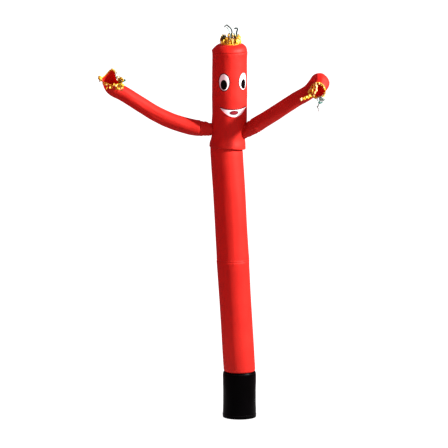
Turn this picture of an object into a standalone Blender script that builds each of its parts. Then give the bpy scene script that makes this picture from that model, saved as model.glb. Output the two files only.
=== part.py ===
"""Inflatable air dancer, standing with the wind in it.

The figure is a row of nylon tubes sewn end to end and blown up from below: a heavy black sleeve that
goes round a blower's outlet, a leaning lower tube in two lengths, an upper tube that is torso and
head in one, a domed top with a round vent, and two arms with open ends.  Ribbons and metallic strips
are sewn along the three open edges, and the face is sewn-on patches.  Each piece is one object: a
thin sheet in its blown-up shape, given its thickness by Solidify.

Units are metres and Z is up.  The floor is Z = 0 and the figure looks towards -Y.  Left and right
are a viewer's.  Places in the tables are measured from the middle of the sleeve's hem, which stands
at MIDDLE.
"""
import math
from collections import namedtuple

import bpy
from mathutils import Vector

# ---- driving dimensions --------------------------------------------------------------------------
MIDDLE = Vector((0.205, 0.164, 0.0))

CLOTH = 0.0012          # coated ripstop nylon
SLEEVE_CLOTH = 0.003    # the sleeve is doubled heavy nylon
PATCH_CLOTH = 0.001     # face patches
RIBBON = 0.001          # ribbons and metallic strips
SEAM_GAP = 0.0005       # between two pieces that are sewn edge to edge
LAY_GAP = 0.0005        # between a patch and what it lies on
TURN_IN_GAP = 0.0009    # between the torso's turned-in edge and the lower tube

UP = Vector((0.0, 0.0, 1.0))

BODY_SIDES = 28
ARM_SIDES = 20

SLEEVE_HEIGHT = 0.375
CROSS_SEAM = 1.28       # where the lower tube's two lengths are joined
WAIST = 2.20            # lowest line of the torso, over the lower tube
WAIST_DIP = 0.10        # that line falls this much to the right, metre for metre
TUCK = 0.035            # how far the lower tube goes on inside the torso
HEAD_SEAM = 2.98
LEAN = -0.0575          # sideways run of the lower tube for each metre up
LOWER_RADIUS = 0.130    # the lower tube's, at the waist

HEAD_X = -0.0804
HEAD_RADIUS = 0.140
FACE_TURN = math.radians(16.5)   # the face's middle line, round to the right from the front

RED = (0.80, 0.03, 0.025)
BLACK = (0.012, 0.011, 0.012)
YELLOW = (0.95, 0.55, 0.08)
GREY_GREEN = (0.34, 0.40, 0.36)
WHITE = (0.92, 0.91, 0.90)
ROSE = (0.55, 0.05, 0.09)

# ---- sections of the upright tubes: height, sideways place, radius and dip to the right -----------
Level = namedtuple("Level", "z x radius dip")


def lean(z):
    """Sideways place of the lower tube's middle at height z."""
    return LEAN * (z - SLEEVE_HEIGHT)


SLEEVE = [
    Level(0.000, 0.0, 0.1327, 0.0),
    Level(0.190, 0.0, 0.1322, 0.0),
    Level(0.335, 0.0, 0.1327, 0.0),
    Level(0.360, 0.0, 0.1300, 0.0),
    Level(SLEEVE_HEIGHT, 0.0, 0.1225, 0.0),
]

LOWER_A = [Level(z, lean(z), radius, 0.0) for z, radius in (
    (SLEEVE_HEIGHT + SEAM_GAP, 0.1215),
    (0.387, 0.1248),
    (0.410, 0.1258),
    (1.262, 0.1290),
    (CROSS_SEAM, 0.1280),
)]

LOWER_B = [Level(z, lean(z), radius, 0.0) for z, radius in (
    (CROSS_SEAM + SEAM_GAP, 0.1280),
    (1.298, 0.1288),
    (2.100, 0.1295),
    (2.165, LOWER_RADIUS),
    (WAIST + TUCK - 0.013, LOWER_RADIUS),
)]
LOWER_B.append(Level(WAIST + TUCK, lean(WAIST + TUCK) + 0.003, LOWER_RADIUS - 0.006, 0.0))

UPPER = [
    Level(2.194, -0.0957, 0.1430, WAIST_DIP),
    Level(WAIST, -0.0945, 0.1449, WAIST_DIP),
    Level(2.212, -0.0944, 0.1449, 0.06),
    Level(2.236, -0.0932, 0.1434, 0.02),
    Level(2.254, -0.0916, 0.1390, 0.0),
    Level(2.290, -0.0872, 0.1340, 0.0),
    Level(2.335, -0.0845, 0.1352, 0.0),
    Level(2.385, -0.0820, 0.1390, 0.0),
    Level(2.450, HEAD_X, HEAD_RADIUS, 0.0),
    Level(HEAD_SEAM, HEAD_X, HEAD_RADIUS, 0.0),
]

DOME = [
    Level(HEAD_SEAM + SEAM_GAP, HEAD_X, HEAD_RADIUS, 0.0),
    Level(2.9930, HEAD_X, 0.1385, 0.0),
    Level(3.0060, HEAD_X, 0.1325, 0.0),
    Level(3.0190, HEAD_X, 0.1195, 0.0),
    Level(3.0325, HEAD_X, 0.0985, 0.0),
    Level(3.0410, HEAD_X, 0.0750, 0.0),
]

# ---- arms ----------------------------------------------------------------------------------------
# A shoulder is a cone from the torso's side out to the seam where its arm begins.
Shoulder = namedtuple("Shoulder", "root seam root_radius seam_radius")

LEFT_SHOULDER = Shoulder(Vector((-0.2175, 0.0, 2.342)), Vector((-0.3136, 0.0, 2.350)), 0.045, 0.060)

RIGHT_ROOT = Vector((0.047, -0.035, 2.330))
RIGHT_WAY = Vector((0.767, -0.320, 0.556)).normalized()
RIGHT_SHOULDER = Shoulder(RIGHT_ROOT, RIGHT_ROOT + 0.095 * RIGHT_WAY, 0.049, 0.058)

# An arm's section: its middle, its half sizes along and across its guide direction, and how much of
# the mouth's unevenness it has.
Section = namedtuple("Section", "middle along across uneven")
# What makes a mouth uneven: the way it faces round the arm from the guide direction, how narrow it
# is (2 is half the way round), and how far it goes onward and outward.
Bump = namedtuple("Bump", "facing narrow onward outward")

LEFT_GUIDE = Vector((0.0, 0.745, 0.663))
LEFT_ARM = [
    Section(LEFT_SHOULDER.seam, 0.060, 0.060, 0.0),
    Section(Vector((-0.396, 0.000, 2.362)), 0.0625, 0.0625, 0.0),
    Section(Vector((-0.500, 0.000, 2.394)), 0.0620, 0.0625, 0.0),
    Section(Vector((-0.596, 0.000, 2.432)), 0.0610, 0.0620, 0.0),
    Section(Vector((-0.732, 0.000, 2.506)), 0.0600, 0.0610, 0.0),
    Section(Vector((-0.850, 0.000, 2.584)), 0.0600, 0.0610, 0.0),
    Section(Vector((-0.942, -0.001, 2.642)), 0.0600, 0.0620, 0.0),
    Section(Vector((-0.977, -0.003, 2.659)), 0.0600, 0.0640, 0.0),
    Section(Vector((-1.002, -0.010, 2.678)), 0.0585, 0.0670, 0.0),
    Section(Vector((-1.013, -0.024, 2.700)), 0.0555, 0.0700, 0.1),
    Section(Vector((-1.016, -0.042, 2.726)), 0.0525, 0.0740, 0.5),
    Section(Vector((-1.015, -0.060, 2.750)), 0.0500, 0.0780, 1.0),
]
LEFT_MOUTH = [
    Bump(4, 30, 0.070, 0.004),
    Bump(100, 10, 0.006, 0.008),
    Bump(145, 14, 0.014, 0.000),
    Bump(200, 10, -0.012, 0.004),
    Bump(280, 10, 0.004, -0.035),
    Bump(312, 16, -0.018, -0.004),
]


def wrist(start, way, towards, radius, degrees, steps):
    """Middles of a tube that turns from way round to towards, like the bend of an elbow."""
    inward = (towards - way * towards.dot(way)).normalized()
    middles = []
    for step in range(1, steps + 1):
        turn = math.radians(degrees) * step / steps
        middles.append(start + radius * (math.sin(turn) * way + (1.0 - math.cos(turn)) * inward))
    end_way = math.cos(math.radians(degrees)) * way + math.sin(math.radians(degrees)) * inward
    return middles, end_way


RIGHT_STRAIGHT = 0.680          # from the root to where the arm starts to lift towards its fold
RIGHT_FOLD_START = Vector((0.6120, -0.2660, 2.7600))
RIGHT_FOLD_TO = Vector((-0.05, -0.93, -0.36)).normalized()
RIGHT_FOLD_RADIUS = 0.062
RIGHT_FOLD_DEGREES = 120.0
RIGHT_GUIDE = RIGHT_WAY.cross(RIGHT_FOLD_TO).normalized()
RIGHT_FOLD_HALF_WIDTHS = (0.0655, 0.0685, 0.0695, 0.0695, 0.0680, 0.0650, 0.0610)
# After the fold: how far sideways and onward, the half size along, and the mouth's unevenness.
RIGHT_END = (((-0.004, 0.022), 0.0565, 0.4), ((-0.008, 0.048), 0.0535, 1.0))


def right_arm():
    """The straight arm, its folded-over wrist and the mouth that hangs from it."""
    sections = [Section(RIGHT_SHOULDER.seam, 0.058, 0.058, 0.0)]
    for share in (0.5, 1.0):
        reach = 0.095 + share * (RIGHT_STRAIGHT - 0.095)
        sections.append(Section(RIGHT_ROOT + reach * RIGHT_WAY, 0.0585, 0.0575, 0.0))
    way = (RIGHT_FOLD_START - sections[-1].middle).normalized()
    sections.append(Section(RIGHT_FOLD_START, 0.061, 0.0550, 0.0))
    middles, end_way = wrist(RIGHT_FOLD_START, way, RIGHT_FOLD_TO, RIGHT_FOLD_RADIUS,
                             RIGHT_FOLD_DEGREES, len(RIGHT_FOLD_HALF_WIDTHS))
    for middle, half_width in zip(middles, RIGHT_FOLD_HALF_WIDTHS):
        sections.append(Section(middle, half_width, 0.0560, 0.0))
    for shift, along, uneven in RIGHT_END:
        sections.append(Section(middles[-1] + shift[0] * RIGHT_GUIDE + shift[1] * end_way, along, 0.0600,
                                uneven))
    return sections


RIGHT_MOUTH = [
    Bump(320, 6, 0.034, 0.004),
    Bump(245, 10, 0.022, 0.006),
    Bump(150, 6, -0.008, 0.000),
    Bump(60, 8, 0.004, 0.000),
]

# ---- ribbons -------------------------------------------------------------------------------------
# A ribbon starts at a cell of its edge, is some cells wide and so long, and bends over towards a
# direction.  Cells are counted round an edge from its guide direction, or from +X at the vent.
Ribbon = namedtuple("Ribbon", "cell cells length towards")
BAND = 0.008            # the sewn band that the ribbons stand on
RIBBON_STEPS = 4
RIBBON_TURN = 0.8       # a ribbon has bent over within this share of its length
VENT_CELLS = 36         # three for each ribbon
STRIP_SHARE = 3         # a metallic strip is this many times narrower than a cell
STRIP_INSET = RIBBON + 0.0007   # from the ribbons' band in to the strips' band

# Lengths of the vent's ribbons, each two cells wide with one cell between, and their common lean.
VENT_LENGTHS = (0.056, 0.058, 0.062, 0.080, 0.054, 0.048, 0.034, 0.032, 0.048, 0.060, 0.058, 0.054)
VENT_INWARD = 0.30
VENT_BREEZE = Vector((0.20, 0.0, 0.0))
VENT_STRIPS = [
    Ribbon(1, 1, 0.112, Vector((-0.22, -0.30, 0.90))),
    Ribbon(10, 1, 0.074, Vector((-0.20, -0.35, 0.90))),
    Ribbon(19, 1, 0.160, Vector((-0.24, -0.58, 0.85))),
    Ribbon(28, 1, 0.060, Vector((0.36, -0.42, 1.00))),
    Ribbon(37, 1, 0.054, Vector((0.50, -0.34, 1.00))),
    Ribbon(46, 1, 0.046, Vector((0.62, -0.05, 1.00))),
]
VENT_STRIP_CELLS = (2, 20)

LEFT_RIBBONS = [
    Ribbon(0, 1, 0.014, Vector((-0.40, 0.30, 0.60))),
    Ribbon(5, 1, 0.034, Vector((-0.90, -0.10, 0.25))),
    Ribbon(7, 1, 0.060, Vector((0.25, -0.75, -0.70))),
    Ribbon(9, 1, 0.050, Vector((0.65, -0.70, -0.40))),
    Ribbon(12, 1, 0.084, Vector((-0.25, -0.80, -0.75))),
    Ribbon(14, 1, 0.052, Vector((0.65, -0.75, -0.25))),
    Ribbon(16, 1, 0.064, Vector((0.95, 0.10, 0.15))),
    Ribbon(18, 1, 0.022, Vector((0.30, 0.10, 0.90))),
]
LEFT_STRIPS = [
    Ribbon(1, 1, 0.054, Vector((0.95, -0.20, 0.40))),
]
LEFT_STRIP_CELLS = (13, 14)

RIGHT_RIBBONS = [
    Ribbon(2, 1, 0.066, Vector((-0.05, -0.25, -1.00))),
    Ribbon(5, 1, 0.020, Vector((-0.20, -0.60, -0.60))),
    Ribbon(8, 1, 0.084, Vector((-0.20, -0.15, -1.00))),
    Ribbon(11, 1, 0.056, Vector((-0.25, -0.35, -0.95))),
    Ribbon(14, 1, 0.118, Vector((-0.95, -0.18, -0.28))),
]
RIGHT_STRIPS = [
    Ribbon(1, 1, 0.044, Vector((-0.80, -0.20, -0.50))),
    Ribbon(4, 1, 0.115, Vector((-0.12, -0.10, -1.00))),
    Ribbon(7, 1, 0.046, Vector((0.40, -0.20, -0.90))),
]
RIGHT_STRIP_CELLS = (17, 20)

# ---- face: patches on the head, by their way round from the middle line and their height -----------
Oval = namedtuple("Oval", "name turn z wide high rings sides layer colour")
FACE_OVALS = [
    Oval("eye_left", math.radians(-34.5), 2.749, 0.092, 0.141, 3, 20, 0, WHITE),
    Oval("eye_right", math.radians(34.5), 2.749, 0.092, 0.141, 3, 20, 0, WHITE),
    Oval("pupil_left", math.radians(-35.0), 2.728, 0.054, 0.081, 2, 16, 1, BLACK),
    Oval("pupil_right", math.radians(35.0), 2.728, 0.054, 0.081, 2, 16, 1, BLACK),
    Oval("tongue", math.radians(-1.0), 2.5030, 0.062, 0.030, 2, 14, 1, ROSE),
]
MOUTH_HALF_TURN = math.radians(49.0)
MOUTH_CORNER_Z = 2.544
MOUTH_TOP_SAG = 0.017
MOUTH_BOTTOM_SAG = 0.077
MOUTH_CORNER_HEIGHT = 0.003
MOUTH_COLUMNS = 14


# ---- tools ---------------------------------------------------------------------------------------
def clear_scene():
    for old in list(bpy.data.objects):
        bpy.data.objects.remove(old, do_unlink=True)


def material(name, colour, roughness):
    found = bpy.data.materials.get(name)
    if found:
        return found
    made = bpy.data.materials.new(name)
    made.use_nodes = True
    shader = made.node_tree.nodes["Principled BSDF"]
    shader.inputs["Base Color"].default_value = (*colour, 1.0)
    shader.inputs["Roughness"].default_value = roughness
    shader.inputs["Metallic"].default_value = 0.0
    return made


def add_object(name, vertices, faces, surface):
    """One mesh object, its places measured from the middle of the sleeve's hem."""
    mesh = bpy.data.meshes.new(name)
    mesh.from_pydata([tuple(MIDDLE + v) for v in vertices], [], faces)
    mesh.materials.append(surface)
    mesh.shade_smooth()
    made = bpy.data.objects.new(name, mesh)
    bpy.context.collection.objects.link(made)
    return made


def thicken(made, cloth, offset):
    """Give a sheet its thickness: offset -1 puts it inside the sheet, +1 outside."""
    solid = made.modifiers.new("cloth", "SOLIDIFY")
    solid.thickness = cloth
    solid.offset = offset
    solid.use_even_offset = True
    solid.use_rim = True


def bridge(rings, closed_ends=False):
    """Faces between rings of points that run along a tube; they face out of it."""
    count = len(rings[0])
    faces = []
    for row in range(len(rings) - 1):
        for k in range(count):
            nxt = (k + 1) % count
            faces.append((row * count + k, row * count + nxt,
                          (row + 1) * count + nxt, (row + 1) * count + k))
    if closed_ends:
        faces.append(tuple(reversed(range(count))))
        faces.append(tuple(range((len(rings) - 1) * count, len(rings) * count)))
    return [point for one in rings for point in one], faces


def tube(name, rings, cloth, surface):
    """A sewn tube: a sheet through its rings, with the cloth's thickness inside it."""
    made = add_object(name, *bridge(rings), surface)
    thicken(made, cloth, -1.0)
    return made


def cutter(name, rings):
    """A closed solid that is only there to cut others."""
    made = add_object(name, *bridge(rings, closed_ends=True), material("cutter", WHITE, 0.5))
    made.hide_render = True
    made.display_type = "WIRE"
    return made


def cut(made, tool):
    hole = made.modifiers.new("hole", "BOOLEAN")
    hole.operation = "DIFFERENCE"
    hole.object = tool


def level_ring(level, count=BODY_SIDES, more=0.0):
    """A round section of an upright tube, larger by more, falling to its right by its dip."""
    radius = level.radius + more
    points = []
    for k in range(count):
        turn = math.tau * k / count
        out = radius * math.cos(turn)
        points.append(Vector((level.x + out, radius * math.sin(turn), level.z - level.dip * out)))
    return points


def upright(name, levels, cloth, surface):
    return tube(name, [level_ring(level) for level in levels], cloth, surface)


def turned_in_edge():
    """The torso's lower edge, just clear of the lower tube all the way round."""
    level = Level(WAIST - 0.004, lean(WAIST - 0.004), LOWER_RADIUS + TURN_IN_GAP, WAIST_DIP)
    points = level_ring(level)
    for point in points:
        point.x += lean(point.z) - lean(level.z)
    return points


def arm_rings(sections, guide, mouth, first_way, count=ARM_SIDES):
    """Rings square to an arm's own path, with the mouth's unevenness near its end."""
    rings = []
    for place, section in enumerate(sections):
        before = sections[max(place - 1, 0)].middle
        after = sections[min(place + 1, len(sections) - 1)].middle
        way = first_way if place == 0 else (after - before).normalized()
        along = (guide - way * guide.dot(way)).normalized()
        across = way.cross(along)
        points = []
        for k in range(count):
            turn = math.tau * k / count
            spoke = section.along * math.cos(turn) * along + section.across * math.sin(turn) * across
            for bump in mouth:
                off = turn - math.radians(bump.facing)
                share = section.uneven * abs(math.cos(off / 2.0)) ** bump.narrow
                spoke += share * (bump.onward * way + bump.outward * spoke.normalized())
            points.append(section.middle + spoke)
        rings.append(points)
    return rings


def shoulder_rings(shoulder, inward, less=0.0, outward=1.0):
    """Rings of a shoulder's cone, started inward inside the torso and run out to a share of it."""
    way = (shoulder.seam - shoulder.root).normalized()
    along = (UP - way * UP.dot(way)).normalized()
    across = way.cross(along)
    length = (shoulder.seam - shoulder.root).length
    slope = (shoulder.seam_radius - shoulder.root_radius) / length
    rings = []
    for reach in (-inward, 0.0, 0.5 * length * outward, length * outward):
        radius = shoulder.root_radius + slope * reach - less
        ring = []
        for k in range(ARM_SIDES):
            turn = math.tau * k / ARM_SIDES
            ring.append(shoulder.root + reach * way
                        + radius * (math.cos(turn) * along + math.sin(turn) * across))
        rings.append(ring)
    return rings


def comb(name, rim, onward, ribbons, closed, surface):
    """A fringe in one piece: a band along the rim, with ribbons that bend over as they go."""
    vertices = []
    faces = []
    cells = len(rim) if closed else len(rim) - 1
    for foot, way in zip(rim, onward):
        vertices.append(foot + SEAM_GAP * way)
        vertices.append(foot + (SEAM_GAP + BAND) * way)
    for cell in range(cells):
        nxt = (cell + 1) % len(rim)
        faces.append((2 * cell, 2 * nxt, 2 * nxt + 1, 2 * cell + 1))
    for ribbon in ribbons:
        columns = [(ribbon.cell + k) % len(rim) for k in range(ribbon.cells + 1)]
        way = sum((onward[c] for c in columns), Vector()).normalized()
        last = [2 * c + 1 for c in columns]
        shift = Vector()
        for step in range(RIBBON_STEPS):
            bent = min(1.0, (step + 1) / (RIBBON_TURN * RIBBON_STEPS))
            heading = way.lerp(ribbon.towards, bent).normalized()
            shift = shift + heading * ribbon.length / RIBBON_STEPS
            row = []
            for column in columns:
                row.append(len(vertices))
                vertices.append(vertices[2 * column + 1] + shift)
            for k in range(ribbon.cells):
                faces.append((last[k], last[k + 1], row[k + 1], row[k]))
            last = row
    made = add_object(name, vertices, faces, surface)
    thicken(made, RIBBON, -1.0)
    return made


def on_head(turn, z, lift):
    """A point on the head's cloth, lifted off it; turn runs from the face's middle line."""
    angle = turn + FACE_TURN
    radius = HEAD_RADIUS + lift
    return Vector((HEAD_X + radius * math.sin(angle), -radius * math.cos(angle), z))


def oval_patch(oval, surface):
    lift = LAY_GAP + oval.layer * (PATCH_CLOTH + LAY_GAP)
    vertices = [on_head(oval.turn, oval.z, lift)]
    faces = []
    for ring in range(1, oval.rings + 1):
        share = ring / oval.rings
        for k in range(oval.sides):
            turn = math.tau * k / oval.sides
            sideways = 0.5 * oval.wide * share * math.cos(turn) / HEAD_RADIUS
            vertices.append(on_head(oval.turn + sideways,
                                    oval.z + 0.5 * oval.high * share * math.sin(turn), lift))
            here = 1 + (ring - 1) * oval.sides + k
            beside = 1 + (ring - 1) * oval.sides + (k + 1) % oval.sides
            if ring == 1:
                faces.append((0, here, beside))
            else:
                faces.append((here - oval.sides, here, beside, beside - oval.sides))
    made = add_object(oval.name, vertices, faces, surface)
    thicken(made, PATCH_CLOTH, 1.0)


def mouth_patch(surface):
    """A crescent: both edges are bows between the corners, the lower one deeper."""
    vertices = []
    faces = []
    rows = 3
    for column in range(MOUTH_COLUMNS + 1):
        share = 2.0 * column / MOUTH_COLUMNS - 1.0
        sag = 1.0 - share * share
        top = MOUTH_CORNER_Z - MOUTH_TOP_SAG * sag
        bottom = MOUTH_CORNER_Z - MOUTH_CORNER_HEIGHT - MOUTH_BOTTOM_SAG * sag
        for row in range(rows):
            z = bottom + (top - bottom) * row / (rows - 1)
            vertices.append(on_head(MOUTH_HALF_TURN * share, z, LAY_GAP))
    for column in range(MOUTH_COLUMNS):
        for row in range(rows - 1):
            here = column * rows + row
            faces.append((here, here + rows, here + rows + 1, here + 1))
    made = add_object("mouth", vertices, faces, surface)
    thicken(made, PATCH_CLOTH, 1.0)


# ---- the figure ----------------------------------------------------------------------------------
def build_body():
    red = material("red_nylon", RED, 0.45)
    upright("base_sleeve", SLEEVE, SLEEVE_CLOTH, material("black_nylon", BLACK, 0.5))
    upright("lower_tube_a", LOWER_A, CLOTH, red)
    upright("lower_tube_b", LOWER_B, CLOTH, red)
    rings = [turned_in_edge()] + [level_ring(level) for level in UPPER]
    torso = tube("upper_tube", rings, CLOTH, red)
    upright("head_top", DOME, CLOTH, red)
    core = cutter("torso_outline", [level_ring(level, more=SEAM_GAP) for level in UPPER])
    for side, shoulder in (("left", LEFT_SHOULDER), ("right", RIGHT_SHOULDER)):
        cone = tube("shoulder_" + side, shoulder_rings(shoulder, inward=0.05), CLOTH, red)
        cut(cone, core)
        cut(torso, cutter("armhole_" + side,
                          shoulder_rings(shoulder, inward=0.06, less=CLOTH, outward=0.6)))


def build_arms():
    """Both arms; gives back the last ring of each and the way that the cloth runs on from it."""
    red = material("red_nylon", RED, 0.45)
    rims = {}
    for side, sections, guide, mouth, shoulder in (
            ("left", LEFT_ARM, LEFT_GUIDE, LEFT_MOUTH, LEFT_SHOULDER),
            ("right", right_arm(), RIGHT_GUIDE, RIGHT_MOUTH, RIGHT_SHOULDER)):
        way = (shoulder.seam - shoulder.root).normalized()
        first = sections[0]._replace(middle=shoulder.seam + SEAM_GAP * way)
        rings = arm_rings([first] + sections[1:], guide, mouth, way)
        tube("arm_" + side, rings, CLOTH, red)
        rims[side] = (rings[-1], onward_ways(rings[-2], rings[-1]))
    return rims


def onward_ways(before, rim):
    """The way the cloth would run on past each point of an edge, square to that edge."""
    ways = []
    for k, (start, end) in enumerate(zip(before, rim)):
        along_edge = (rim[(k + 1) % len(rim)] - rim[k - 1]).normalized()
        onward = (end - start).normalized()
        ways.append((onward - onward.dot(along_edge) * along_edge).normalized())
    return ways


def stretch_of(rim, onward, first, last):
    """Part of an edge, moved in off its band and split into narrow cells for metallic strips."""
    inward = []
    for cell in range(len(rim)):
        along_edge = rim[(cell + 1) % len(rim)] - rim[cell - 1]
        inward.append(onward[cell].cross(along_edge).normalized())
    feet = []
    ways = []
    for cell in range(first, last + 1):
        here = cell % len(rim)
        beside = (cell + 1) % len(rim)
        for part in range(STRIP_SHARE if cell < last else 1):
            share = part / STRIP_SHARE
            foot = rim[here].lerp(rim[beside], share)
            feet.append(foot + STRIP_INSET * inward[here].lerp(inward[beside], share).normalized())
            ways.append(onward[here].lerp(onward[beside], share).normalized())
    return feet, ways


def build_fringes(rims):
    yellow = material("yellow_ribbon", YELLOW, 0.5)
    tinsel = material("grey_green_tinsel", GREY_GREEN, 0.3)
    top = DOME[-1]._replace(radius=DOME[-1].radius + CLOTH)
    rim = level_ring(top, count=VENT_CELLS)
    middle = Vector((top.x, 0.0, top.z))
    ribbons = []
    for k, length in enumerate(VENT_LENGTHS):
        inward = (middle - rim[3 * k + 1]).normalized()
        heading = (UP + VENT_INWARD * inward + VENT_BREEZE).normalized()
        ribbons.append(Ribbon(3 * k, 2, length, heading))
    comb("vent_fringe", rim, [UP] * VENT_CELLS, ribbons, True, yellow)
    feet, ways = stretch_of(rim, [UP] * VENT_CELLS, *VENT_STRIP_CELLS)
    comb("vent_tinsel", feet, ways, VENT_STRIPS, False, tinsel)
    for side, ribbons, strips, cells in (("left", LEFT_RIBBONS, LEFT_STRIPS, LEFT_STRIP_CELLS),
                                         ("right", RIGHT_RIBBONS, RIGHT_STRIPS, RIGHT_STRIP_CELLS)):
        edge, onward = rims[side]
        comb("hand_fringe_" + side, edge, onward, ribbons, True, yellow)
        feet, ways = stretch_of(edge, onward, *cells)
        comb("hand_tinsel_" + side, feet, ways, strips, False, tinsel)


def build_face():
    finishes = {WHITE: "white_nylon", BLACK: "black_nylon", ROSE: "rose_nylon"}
    mouth_patch(material("white_nylon", WHITE, 0.5))
    for oval in FACE_OVALS:
        oval_patch(oval, material(finishes[oval.colour], oval.colour, 0.5))


clear_scene()
build_body()
build_fringes(build_arms())
build_face()
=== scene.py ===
# %% [markdown]
# # An inflatable air dancer
#
# An air dancer is a row of light nylon tubes, sewn end to end and held up by a blower. It has no
# frame: the air makes every curve, and what the eye reads as cloth is the puckering where a seam
# gathers it, the soft creases between seams, and the way thin coated nylon catches the light.
#
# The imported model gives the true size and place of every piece. Here each of its plain solids is
# replaced by a fine sheet in the same place, and then come the ribbons, the face and the
# stitching.

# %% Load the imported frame
import math

import bmesh
import bpy
import numpy as np
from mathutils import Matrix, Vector
from mathutils.bvhtree import BVHTree


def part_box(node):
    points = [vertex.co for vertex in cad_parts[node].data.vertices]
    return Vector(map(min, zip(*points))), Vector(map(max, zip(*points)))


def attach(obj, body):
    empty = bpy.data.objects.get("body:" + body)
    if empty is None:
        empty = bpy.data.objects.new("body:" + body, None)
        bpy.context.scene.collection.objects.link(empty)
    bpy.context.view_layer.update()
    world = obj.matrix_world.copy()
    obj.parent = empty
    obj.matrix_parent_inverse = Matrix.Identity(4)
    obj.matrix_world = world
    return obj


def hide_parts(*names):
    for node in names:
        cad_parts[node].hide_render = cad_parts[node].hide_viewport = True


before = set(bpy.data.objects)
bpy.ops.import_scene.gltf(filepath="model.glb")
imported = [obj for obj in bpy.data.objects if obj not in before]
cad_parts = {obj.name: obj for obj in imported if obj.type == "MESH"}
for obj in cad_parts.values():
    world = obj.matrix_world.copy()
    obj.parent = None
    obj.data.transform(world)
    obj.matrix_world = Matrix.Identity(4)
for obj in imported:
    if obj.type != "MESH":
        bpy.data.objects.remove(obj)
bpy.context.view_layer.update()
sleeve_low, sleeve_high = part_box("base_sleeve")
HEM = np.array([(sleeve_low.x + sleeve_high.x) / 2, (sleeve_low.y + sleeve_high.y) / 2, 0.0])
CHANCE = np.random.default_rng(7)
UP = np.array([0.0, 0.0, 1.0])

# %% [markdown]
# ## Camera, light and floor
#
# The figure is seen from a long way off through a long lens, slightly from above, which keeps its
# upright sides parallel. A small bright lamp high on the right gives one side of each tube its
# glare and the other its shade, and a broad weak one in front softens the turn between them. The
# surround is white to the camera, but as a light it is dim and warm, like light thrown back by red
# cloth, so that the shaded cloth stays red and not black.

# %% Camera
CAMERA_RISE = math.radians(11.0)
CAMERA_REACH = 150.0
VIEW_WIDTH = 3.584
VIEW_MIDDLE = (-0.124, 0.0, 1.5713)
SENSOR = 36.0

aim = Vector(HEM) + Vector(VIEW_MIDDLE)
back = Vector((0.0, -math.cos(CAMERA_RISE), math.sin(CAMERA_RISE)))
camera = bpy.data.objects.new("camera", bpy.data.cameras.new("camera"))
camera.data.sensor_width = SENSOR
camera.data.lens = SENSOR * CAMERA_REACH / VIEW_WIDTH
camera.data.clip_end = 3.0 * CAMERA_REACH
camera.location = aim + CAMERA_REACH * back
camera.rotation_euler = (-back).to_track_quat("-Z", "Y").to_euler()
bpy.context.collection.objects.link(camera)
bpy.context.scene.camera = camera
bpy.context.scene.view_settings.view_transform = "Standard"
bpy.context.scene.view_settings.look = "Medium High Contrast"
print("camera", [round(v, 2) for v in camera.location], "lens", round(camera.data.lens))

# %% Helpers for nodes, colours and plain pieces
def feed(fed, inputs):
    """Sets or links a node's inputs by name or number; a node as value means its first output."""
    for key, value in inputs.items():
        if isinstance(value, bpy.types.Node):
            value = value.outputs[0]
        if isinstance(value, bpy.types.NodeSocket):
            fed.id_data.links.new(value, fed.inputs[key])
        else:
            fed.inputs[key].default_value = value
    return fed


def node(tree, kind, inputs=None, **settings):
    """Adds a node with its settings and links."""
    made = tree.nodes.new(kind)
    for key, value in settings.items():
        setattr(made, key, value)
    return feed(made, inputs or {})


def linear(hex_colour):
    """An sRGB colour such as E0342C as the linear RGBA that Blender's sockets hold."""
    shares = [int(hex_colour[k:k + 2], 16) / 255 for k in (0, 2, 4)]
    lit = [c / 12.92 if c <= 0.04045 else ((c + 0.055) / 1.055) ** 2.4 for c in shares]
    return (*lit, 1.0)


def new_material(name):
    """A material, its tree and its shader."""
    made = bpy.data.materials.new(name)
    made.use_nodes = True
    return made, made.node_tree, made.node_tree.nodes["Principled BSDF"]


def add_piece(name, points, edges=(), faces=(), **fields):
    """A smooth mesh in the scene; each field gives its points a number or a vector by that name."""
    mesh = bpy.data.meshes.new(name)
    mesh.from_pydata([tuple(p) for p in points], edges, faces)
    mesh.shade_smooth()
    for title, values in fields.items():
        values = np.asarray(values, float)
        kind, part = ("FLOAT", "value") if values.ndim == 1 else ("FLOAT_VECTOR", "vector")
        mesh.attributes.new(title, kind, "POINT").data.foreach_set(part, values.ravel())
    piece = bpy.data.objects.new(name, mesh)
    bpy.context.collection.objects.link(piece)
    return piece


# %% Key light and a broad weak one
LAMP_REACH = 9.0
LAMPS_LOOK_AT = Vector((0.0, 0.0, 1.8))


def disk_light(name, facing, size, power):
    """A white disk of light that looks at the figure's middle from a given direction."""
    towards = Vector(facing).normalized()
    lamp = bpy.data.objects.new(name, bpy.data.lights.new(name, "AREA"))
    lamp.data.shape = "DISK"
    lamp.data.size = size
    lamp.data.energy = power
    lamp.location = LAMPS_LOOK_AT + LAMP_REACH * towards
    lamp.rotation_euler = towards.to_track_quat("Z", "Y").to_euler()
    bpy.context.collection.objects.link(lamp)
    print(name, power, "W,", size, "m wide")


disk_light("key_light", (1.0, -0.37, 0.63), 0.45, 2050.0)
disk_light("broad_light", (0.55, -1.0, 0.35), 4.0, 150.0)

# %% White surround, dimmer and warmer as a light than as a backdrop
FILL_STRENGTH = 0.47
WHITE = linear("FFFFFF")

surround = bpy.data.worlds.new("white_surround")
surround.use_nodes = True
sky = surround.node_tree
backdrop = feed(sky.nodes["Background"], {"Color": WHITE})
fill = node(sky, "ShaderNodeBackground", {"Color": linear("FFB4C4"), "Strength": FILL_STRENGTH})
seen = node(sky, "ShaderNodeLightPath").outputs["Is Camera Ray"]
either = node(sky, "ShaderNodeMixShader", {0: seen, 1: fill, 2: backdrop})
feed(sky.nodes["World Output"], {"Surface": either})
bpy.context.scene.world = surround
print("surround lights at", FILL_STRENGTH, "of its own brightness")

# %% Floor, small and glowing a little so that it is as pale as the surround
FLOOR_HALF = 1.2

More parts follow.
